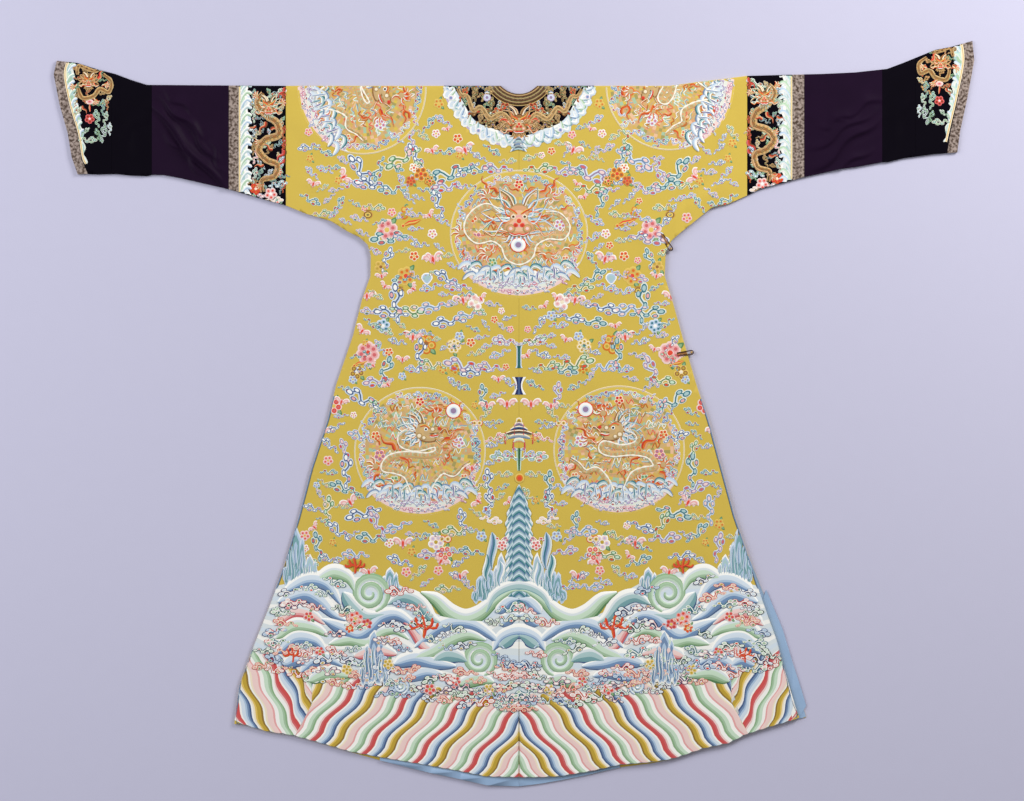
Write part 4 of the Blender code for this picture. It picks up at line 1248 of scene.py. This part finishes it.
RIM_THREADS = (         # by turns along the collar's rim, from its inner to its outer edge
    ("snow", "ice", "sky", "snow", "pale_green"), ("white", "snow", "ice", "mist", "ice"),
    ("ice", "white", "snow", "ice", "lilac"),
)
collar = Needlework("collar_embroidery", "black_satin")
rim = []
for k in range(81):
    angle = 180 - 2.25 * k
    inner = 133 + 3.0 * math.sin(math.radians(angle * 9))
    outer = 155 + 3.2 * abs(math.sin(math.radians(angle * 7.5)))
    rim.append([(*on_collar(inner + (outer - inner) * t / 5, angle), 0.75 - (0.7 if t in (0, 5) else 0))
                for t in range(6)])
collar.net(rim, lambda i, j: RIM_THREADS[(i // 4) % 3][j])
for k in range(19):
    angle = 14 + k * 8.4
    lean = 1 if angle > 90 else -1
    for near, far, threads, shift in ((134, 151, HUMPS[(0, 3, 1)[k % 3]], 0),
                                      (137, 157, ("white", "snow", "ice"), 3.4)):
        arch = curve(
            [on_collar(near, angle + shift + lean * 4.4), on_collar(far - 3, angle + shift + lean * 1.5),
             on_collar(far, angle + shift - lean * 1.0), on_collar(near + 7, angle + shift - lean * 3.8)],
            3.6)
        collar.ribbon(arch, lambda t: 8.5 * (0.4 + 0.6 * math.sin(math.pi * t)), threads[::2], 0.5, 6, 0.4)
    if k % 4 == 1:
        collar.patch(disc(placer(on_collar(148, angle)), 0, 0, 6, 8),
                     ((1.0, "white"), (0.7, "lilac"), (0.4, "blue")), 0.5, 9)
for side in (-1, 1):
    arm = [(side * x, y)
           for x, y in ((16, 74), (34, 56), (58, 66), (76, 44), (92, 50), (104, 22), (116, 20), (124, 6))]
    coil(collar, as_given, arm, 9.5, 5, ("fawn", "brown", "tan", "bark"), "tan", ("tan", "sand", "fawn"))
    for radius, angle, length, turn, tones, tip in (
            (84, 66, 30, 30, ("fawn", "red", "bark"), "red"),
            (92, 52, 32, 80, ("fawn", "forest", "tan"), "brown"),
            (118, 62, 30, 10, ("brown", "forest", "fawn"), "tan"),
            (80, 36, 28, 60, ("tan", "olive", "fawn"), "leaf"),
            (122, 44, 30, 40, ("brown", "bark", "fawn"), "red"),
            (98, 26, 30, 90, ("fawn", "forest", "brown"), "tan"),
            (122, 76, 28, -10, ("tan", "bark", "peach"), "brown"),
            (84, 18, 26, 70, ("fawn", "olive", "tan"), "red"),
            (120, 24, 28, 60, ("fawn", "red", "brown"), "red"),
            (100, 84, 24, -20, ("brown", "bark", "tan"), "fawn"),
            (122, 92, 22, 0, ("fawn", "forest", "tan"), "brown"),
            (106, 14, 24, 90, ("tan", "leaf", "fawn"), "leaf")):
        x, y = on_collar(radius, angle)
        cloud(collar, (side * x, y), length, turn, side, tones, tip, 4)
    scraps = random.Random(21)
    scatter_clouds(
        collar, 700, ((79, 128), (12, 88)), 17, (0, 72, 24), on_collar, lambda x, y: (side * x, y), (24, 32),
        side, (("tan", "bark", "sand"), ("sand", "forest", "pale"), ("grey", "bark", "olive"),
               ("pale", "slate", "tan"), ("grey", "ink", "sand"), ("celadon", "forest", "tan")),
        ("red", "leaf", "tan", "mauve"))
    x, y = on_collar(86, 42)
    collar.patch(disc(placer((side * x, y)), 0, 0, 8, 10), ((1.0, "lilac"), (0.7, "ice"), (0.4, "mauve")),
                 0.5, 6)
    collar.ribbon([(side * x - 5, y - 9), (side * x, y - 12), (side * x + 5, y - 9)], 5, ("white", "indigo"),
                  0.4, 7)
    for turn, length in ((25, 26), (-20, 22), (60, 18)):
        flame(collar, placer((side * 18, 62), 1, 0, side), (0, 0), length, turn, ("peach", "red", "coral"),
              6)
head_facing(collar, placer((0, 76), 1.0), (0, 0), (("sand", "brown", "fawn"), ("flesh", "fawn", "bark")),
            ("bark", "brown", "tan", "fawn"))
pearl(collar, placer((0, 108), 0.6), (0, 0))
for radius, thread in ((73.5, "old_gold"), (70.0, "bark"), (67.0, "olive"), (63.5, "bark"), (59.5, "olive"),
                       (56.0, "bark"), (53.4, "fawn"), (51.0, "bark")):
    line = [on_collar(radius, angle) for angle in range(12, 169, 3)]
    collar.ribbon(line, 2.2, (thread, thread if thread == "bark" else "tan"), 0.3, 3 if radius < 72 else 4,
                  0.9)
peak(collar, -1, 102, 131, 16, 9, ("grey", "slate", "mist", "grey", "steel"), 0.3)
collar.sew_on()

# Embroidery of the sleeve bands: on each, a dragon climbs among clouds, with a rim of
# waves and a cream cord at the seam to the brocade.
BORDER_THREADS = (      # by turns along a band's border, from its inner to its outer edge
    ("white", "snow", "mist", "pale_green"), ("white", "pale_green", "snow", "white"),
    ("ice", "white", "pale_green", "snow"),
)
BORDER_CURLS = (("white", "snow", "mist"), ("white", "pale_green", "celadon"), ("white", "ice", "sky"))
for side, seam, rim_edge, rise, name in ((-1, 466.0, 560.0, 0, "left"), (1, 456.0, 546.0, -20, "right")):
    band = Needlework(f"{name}_band_embroidery", "black_satin")
    width = rim_edge - seam

    def spot(out, down):
        return side * (seam + out), down + rise

    border = []
    for k in range(66):
        down = -4 + k * 4.0
        inner = width - 21 + 3.5 * math.sin(down / 6.1)
        border.append(
            [(*spot(inner + (width - 1.0 - inner) * t / 4, down), 0.6 - (0.55 if t in (0, 4) else 0))
             for t in range(5)])
    band.net(border, lambda i, j: BORDER_THREADS[(i // 3) % 3][j])
    for k in range(17):
        down = 2 + k * 14.6
        curl = drawn(spot, (
            (width - 26, down), (width - 17, down - 4), (width - 8, down + 5), (width - 4, down + 16)), 3.4)
        band.ribbon(curl, lambda t: 8 * (1 - 0.6 * t), BORDER_CURLS[k % 3], 0.5, 5, 0.4)
    band.ribbon([spot(width - 1.6, -4 + 6 * k) for k in range(44)], 3.6, ("cream", "bright_gold", "cream"),
                0.5, 6, 0.9)
    body = [spot(*place) for place in ((44, 16), (56, 34), (40, 58), (18, 74), (14, 98), (40, 108),
                                       (54, 128), (38, 148), (16, 158), (22, 182), (46, 190), (44, 212))]
    coil(band, as_given, body, 15, 4, ("brown", "fawn", "bark", "brown"), "fawn", ("tan", "fawn", "peach"))
    head_facing(band, placer(spot(34, 44), 0.7), (0, 0),
                (("white", "celadon", "forest"), ("cream", "sand", "brown")),
                ("bark", "brown", "tan", "sand"))
    for out, down, direction in ((58, 20, -40), (8, 34, 200), (54, 112, 20), (16, 172, 150), (52, 200, 40)):
        claw(band, placer(spot(out, down), 0.62, 0, side), (0, 0), direction, "cream", "tan")
    for out, down, length, direction in ((40, 72, 26, 60), (30, 88, 20, 200), (26, 128, 22, -30),
                                         (44, 158, 20, 10), (60, 80, 18, 30)):
        flame(band, placer(spot(out, down), 1, 0, side), (0, 0), length, direction, ("peach", "red", "bark"),
              7)
    for out, down, length, turn, tones, tip in (
            (14, 14, 32, 20, ("white", "leaf", "pale_green"), "coral"),
            (64, 92, 26, 80, ("ice", "forest", "white"), "peach"),
            (58, 136, 28, 70, ("white", "rose", "blush"), "green"),
            (10, 78, 24, 90, ("cream", "leaf", "peach"), "red"),
            (8, 152, 26, 80, ("white", "indigo", "ice"), "coral"),
            (62, 176, 26, 80, ("white", "leaf", "mist"), "rose"),
            (12, 196, 30, 10, ("ice", "sea", "white"), "peach"),
            (40, 118, 22, 30, ("pale_green", "leaf", "cream"), "gold"),
            (64, 56, 24, 90, ("white", "leaf", "pale_green"), "rose"),
            (20, 228, 30, 0, ("white", "blush", "cream"), "coral"),
            (56, 222, 28, 10, ("ice", "rose", "white"), "red"),
            (34, 246, 26, 0, ("white", "leaf", "mist"), "gold"),
            (64, 30, 24, 60, ("ice", "teal", "white"), "peach")):
        cloud(band, spot(out, down), length, turn, side, tones, tip, 4)
    scatter_clouds(
        band, 500, ((6, width - 28), (8, 232)), 17, (34, 44, 24), as_given, spot, (16, 23), side,
        (("mist", "forest", "celadon"), ("tan", "bark", "fawn"), ("pale", "indigo", "ice"),
         ("cream", "olive", "sand"), ("mist", "slate", "bark"), ("celadon", "leaf", "mist")),
        ("red", "leaf", "fawn", "grey"))
    for down in (8, 24, 92, 108, 124, 196):
        cloud(band, spot(4, down + 4 * math.sin(down)), 19, 80, side,
              ("brick", "bark", "red") if down % 2 else ("brown", "red", "bark"), "rose", 4)
    flower(band, spot(60, 206), 26, 5, ("coral", "red", "orange"), "cream", False, 6)
    flower(band, spot(30, 216), 28, 5, ("blush", "pink", "coral"), "white", False, 6)
    for down, length in ((4, 26), (128, 30), (146, 22)):
        flame(band, placer(spot(3, down), 1, 0, side), (0, 0), length, 60, ("rose", "red", "bark"), 5)
    band.sew_on()

# Embroidery of the cuffs: a dragon at the fold, a red blossom and clouds below it, and
# waves along the flared edge with a cream cord against the brocade.
CUFF_EDGES = (          # right and down of the seam between cuff and brocade, from the fold down, in mm
    (-1, ((-904, -50), (-910, -20), (-898, 40), (-882, 94), (-874, 142), (-868, 156))),
    (1, ((886, -90), (890, -48), (876, 24), (862, 84), (856, 112))),
)
FRINGE_THREADS = (      # by turns down a cuff's edge, from the cord inwards
    ("cream", "celadon", "celadon", "mist"), ("cream", "mist", "pale", "snow"),
    ("cream", "pale_green", "mist", "pale"),
)
for side, edge in CUFF_EDGES:
    cuff = Needlework("left_cuff_embroidery" if side < 0 else "right_cuff_embroidery", "black_satin")
    line = curve(list(edge), 4.0)
    fringe = []
    for k, (x, y) in enumerate(line):
        deep = 20 * (1 - 0.86 * k / len(line)) + 2.5 * math.sin(k * 0.9)
        fringe.append([(x - side * (1.2 + (deep + 1.5) * t / 4), y, 0.6 - (0.55 if t in (0, 4) else 0))
                       for t in range(5)])
    cuff.net(fringe, lambda i, j: FRINGE_THREADS[(i // 3) % 3][j])
    cuff.ribbon([(x - side * 2.6, y) for x, y in line], 4.6, ("cream", "straw", "cream"), 0.5, 5, 0.9)
    for k in range(0, len(line) - 14, 4):
        x, y = line[k]
        deep = 20 * (1 - 0.8 * k / len(line))
        curl = curve(
            [(x - side * (deep + 4), y - 3), (x - side * (deep * 0.6 + 2), y + 1), (x - side * 6, y + 13)],
            3.4)
        threads = (("white", "pale_green", "mist"), ("white", "ice", "sky"))[(k // 4) % 2]
        cuff.ribbon(curl, lambda t: 7 * (1 - 0.6 * t), threads, 0.5, 5, 0.4)

    def spot(across, down):
        return (across, down) if side < 0 else (-across - 18, down - 36)

    body = ((-880, 4), (-872, 24), (-850, 20), (-838, 6), (-820, 12), (-816, -8), (-832, -22))
    coil(cuff, as_given, [spot(*place) for place in body], 8.5, 4, ("brown", "bark", "fawn", "brown"),
         "fawn", ("tan", "fawn", "brown"))
    tail = ((-884, -22), (-880, -40), (-862, -34), (-846, -30), (-836, -38))
    coil(cuff, as_given, [spot(*place) for place in tail], 7.5, 4, ("brown", "bark", "fawn"), "fawn",
         ("tan", "fawn", "brown"))
    head_facing(cuff, placer(spot(-860, -8), 0.52), (0, 0),
                (("sand", "fawn", "brown"), ("tan", "peach", "brown")), ("bark", "brown", "tan", "fawn"))
    cuff.patch(disc(placer(spot(-858, 32)), 0, 0, 8, 9, 0.7), ((1.0, "blush"), (0.6, "pink"), (0.3, "rose")),
               0.5, 6)
    cuff.ribbon([spot(-858, 36), spot(-858, 44), spot(-857, 52)], 4, ("peach", "coral"), 0.4, 6)
    flower(cuff, spot(-858, 66), 22, 5, ("rose", "red", "bark"), "blush", False, 6)
    for across, down, length, turn, tones in (
            (-832, 40, 30, 90, ("mist", "forest", "celadon")),
            (-844, 62, 34, 100, ("pale_green", "forest", "mist")),
            (-826, 62, 26, 80, ("pale", "leaf", "mist")), (-830, 92, 34, 80, ("snow", "forest", "celadon")),
            (-842, 96, 26, 110, ("celadon", "forest", "mist")), (-858, 108, 34, 0, ("pale", "leaf", "mist")),
            (-818, 84, 24, 90, ("white", "sea", "ice")), (-880, 50, 22, 60, ("cream", "leaf", "white")),
            (-822, 26, 24, 40, ("cream", "olive", "sand")),
            (-866, 90, 22, 40, ("pale_green", "forest", "white"))):
        cloud(cuff, spot(across, down), length * 0.86, turn, side, tones, "celadon", 4)
    scatter_clouds(
        cuff, 300, ((-888, -822), (-44, 46)), 18, (-860, -8, 16), as_given, spot, (15, 21), side,
        (("tan", "bark", "fawn"), ("fawn", "brown", "peach"), ("celadon", "forest", "leaf"),
         ("peach", "bark", "red")), "sand")
    for across, down, direction in ((-890, 2, 170), (-826, -2, 10), (-846, 30, 70)):
        claw(cuff, placer(spot(across, down), 0.55, 0, -side), (0, 0), direction, "cream", "tan")
    flame(cuff, placer(spot(-842, -14)), (0, 0), 20, -60, ("peach", "coral", "red"), 7)
    flame(cuff, placer(spot(-872, 40)), (0, 0), 18, 60, ("peach", "red", "bark"), 7)
    cuff.sew_on()

# Closures at the right side: brown silk cord loops sewn to the back's edge, the stitches
# between each loop's legs, and the small gilt buttons of the front that the loops hold.
cord = woven("brown_cord_silk", (0.085, 0.042, 0.022), (0.04, 0.018, 0.011), 0.8, 0.0, (900, 900, 420), 0.08,
             3.0)
gilt = woven("gilt_brass", (0.78, 0.52, 0.2), (0.5, 0.3, 0.11), 0.32, 0.0, (300, 300, 240), 0.5, 2.0, 1.0)
CLOSURE_STITCHES = (    # right and down of each run's root and of its tip, in mm
    ((284.0, 296.0), (300.0, 321.0)), ((315.0, 537.0), (339.0, 533.6)),
)
sewing = Needlework("closure_stitches", "brown_cord")
for root, tip in CLOSURE_STITCHES:
    run = [(root[0] + (tip[0] - root[0]) * t / 6, root[1] + (tip[1] - root[1]) * t / 6) for t in range(7)]
    sewing.ribbon(run, 7.5, ("bark", "brown", "bark"), 0.8, 2, 0.6)
sewing.sew_on()
for node, finish in (("closure_loop_upper", cord), ("closure_loop_lower", cord),
                     ("closure_button_upper", gilt), ("closure_button_lower", gilt)):
    fitting, form = copy_of(node, f"{node}_finish")
    dress(fitting, form, finish)
    bpy.ops.object.shade_smooth()
    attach(fitting, "root")
    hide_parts(node)

# The cut: what each sheet of cloth that shows would measure laid out flat, in metres.
# The two lengths and the sleeves go round both layers; the rest lies on or beside them.
SHEETS = (              # node, width and length of the cut, its area, and how it lies
    ("left_length", 0.569, 2.78, 1.131, "folded"), ("right_length", 0.560, 2.77, 1.073, "folded"),
    ("overlap", 0.574, 1.212, 0.450, "laid"), ("overlap_facing", 0.09, 0.36, 0.023, "laid"),
    ("collar_facing_left", 0.154, 0.377, 0.029, "folded"),
    ("collar_facing_right", 0.154, 0.375, 0.027, "folded"),
    ("neck_binding_left", 0.030, 0.220, 0.0043, "folded"),
    ("neck_binding_right", 0.030, 0.210, 0.0039, "folded"),
    ("sleeve_band_left", 0.094, 0.480, 0.0424, "folded"),
    ("sleeve_band_right", 0.090, 0.483, 0.0399, "folded"),
    ("sleeve_trim_left", 0.020, 0.427, 0.0083, "folded"),
    ("sleeve_trim_right", 0.024, 0.424, 0.0099, "folded"),
    ("sleeve_extension_left", 0.154, 0.418, 0.0587, "folded"),
    ("sleeve_extension_right", 0.156, 0.431, 0.0601, "folded"),
    ("sleeve_lower_left", 0.080, 0.412, 0.0303, "folded"),
    ("sleeve_lower_right", 0.066, 0.417, 0.0249, "folded"),
    ("cuff_left", 0.096, 0.451, 0.0322, "folded"), ("cuff_right", 0.098, 0.452, 0.0343, "folded"),
    ("cuff_trim_left", 0.022, 0.460, 0.0088, "folded"), ("cuff_trim_right", 0.022, 0.460, 0.0085, "folded"),
    ("lining_hem_left", 0.280, 0.020, 0.0038, "laid"), ("lining_hem_right", 0.204, 0.014, 0.0018, "laid"),
    ("lining_vent", 0.270, 0.030, 0.0047, "laid"),
)
for node, width, length, area, held in SHEETS:
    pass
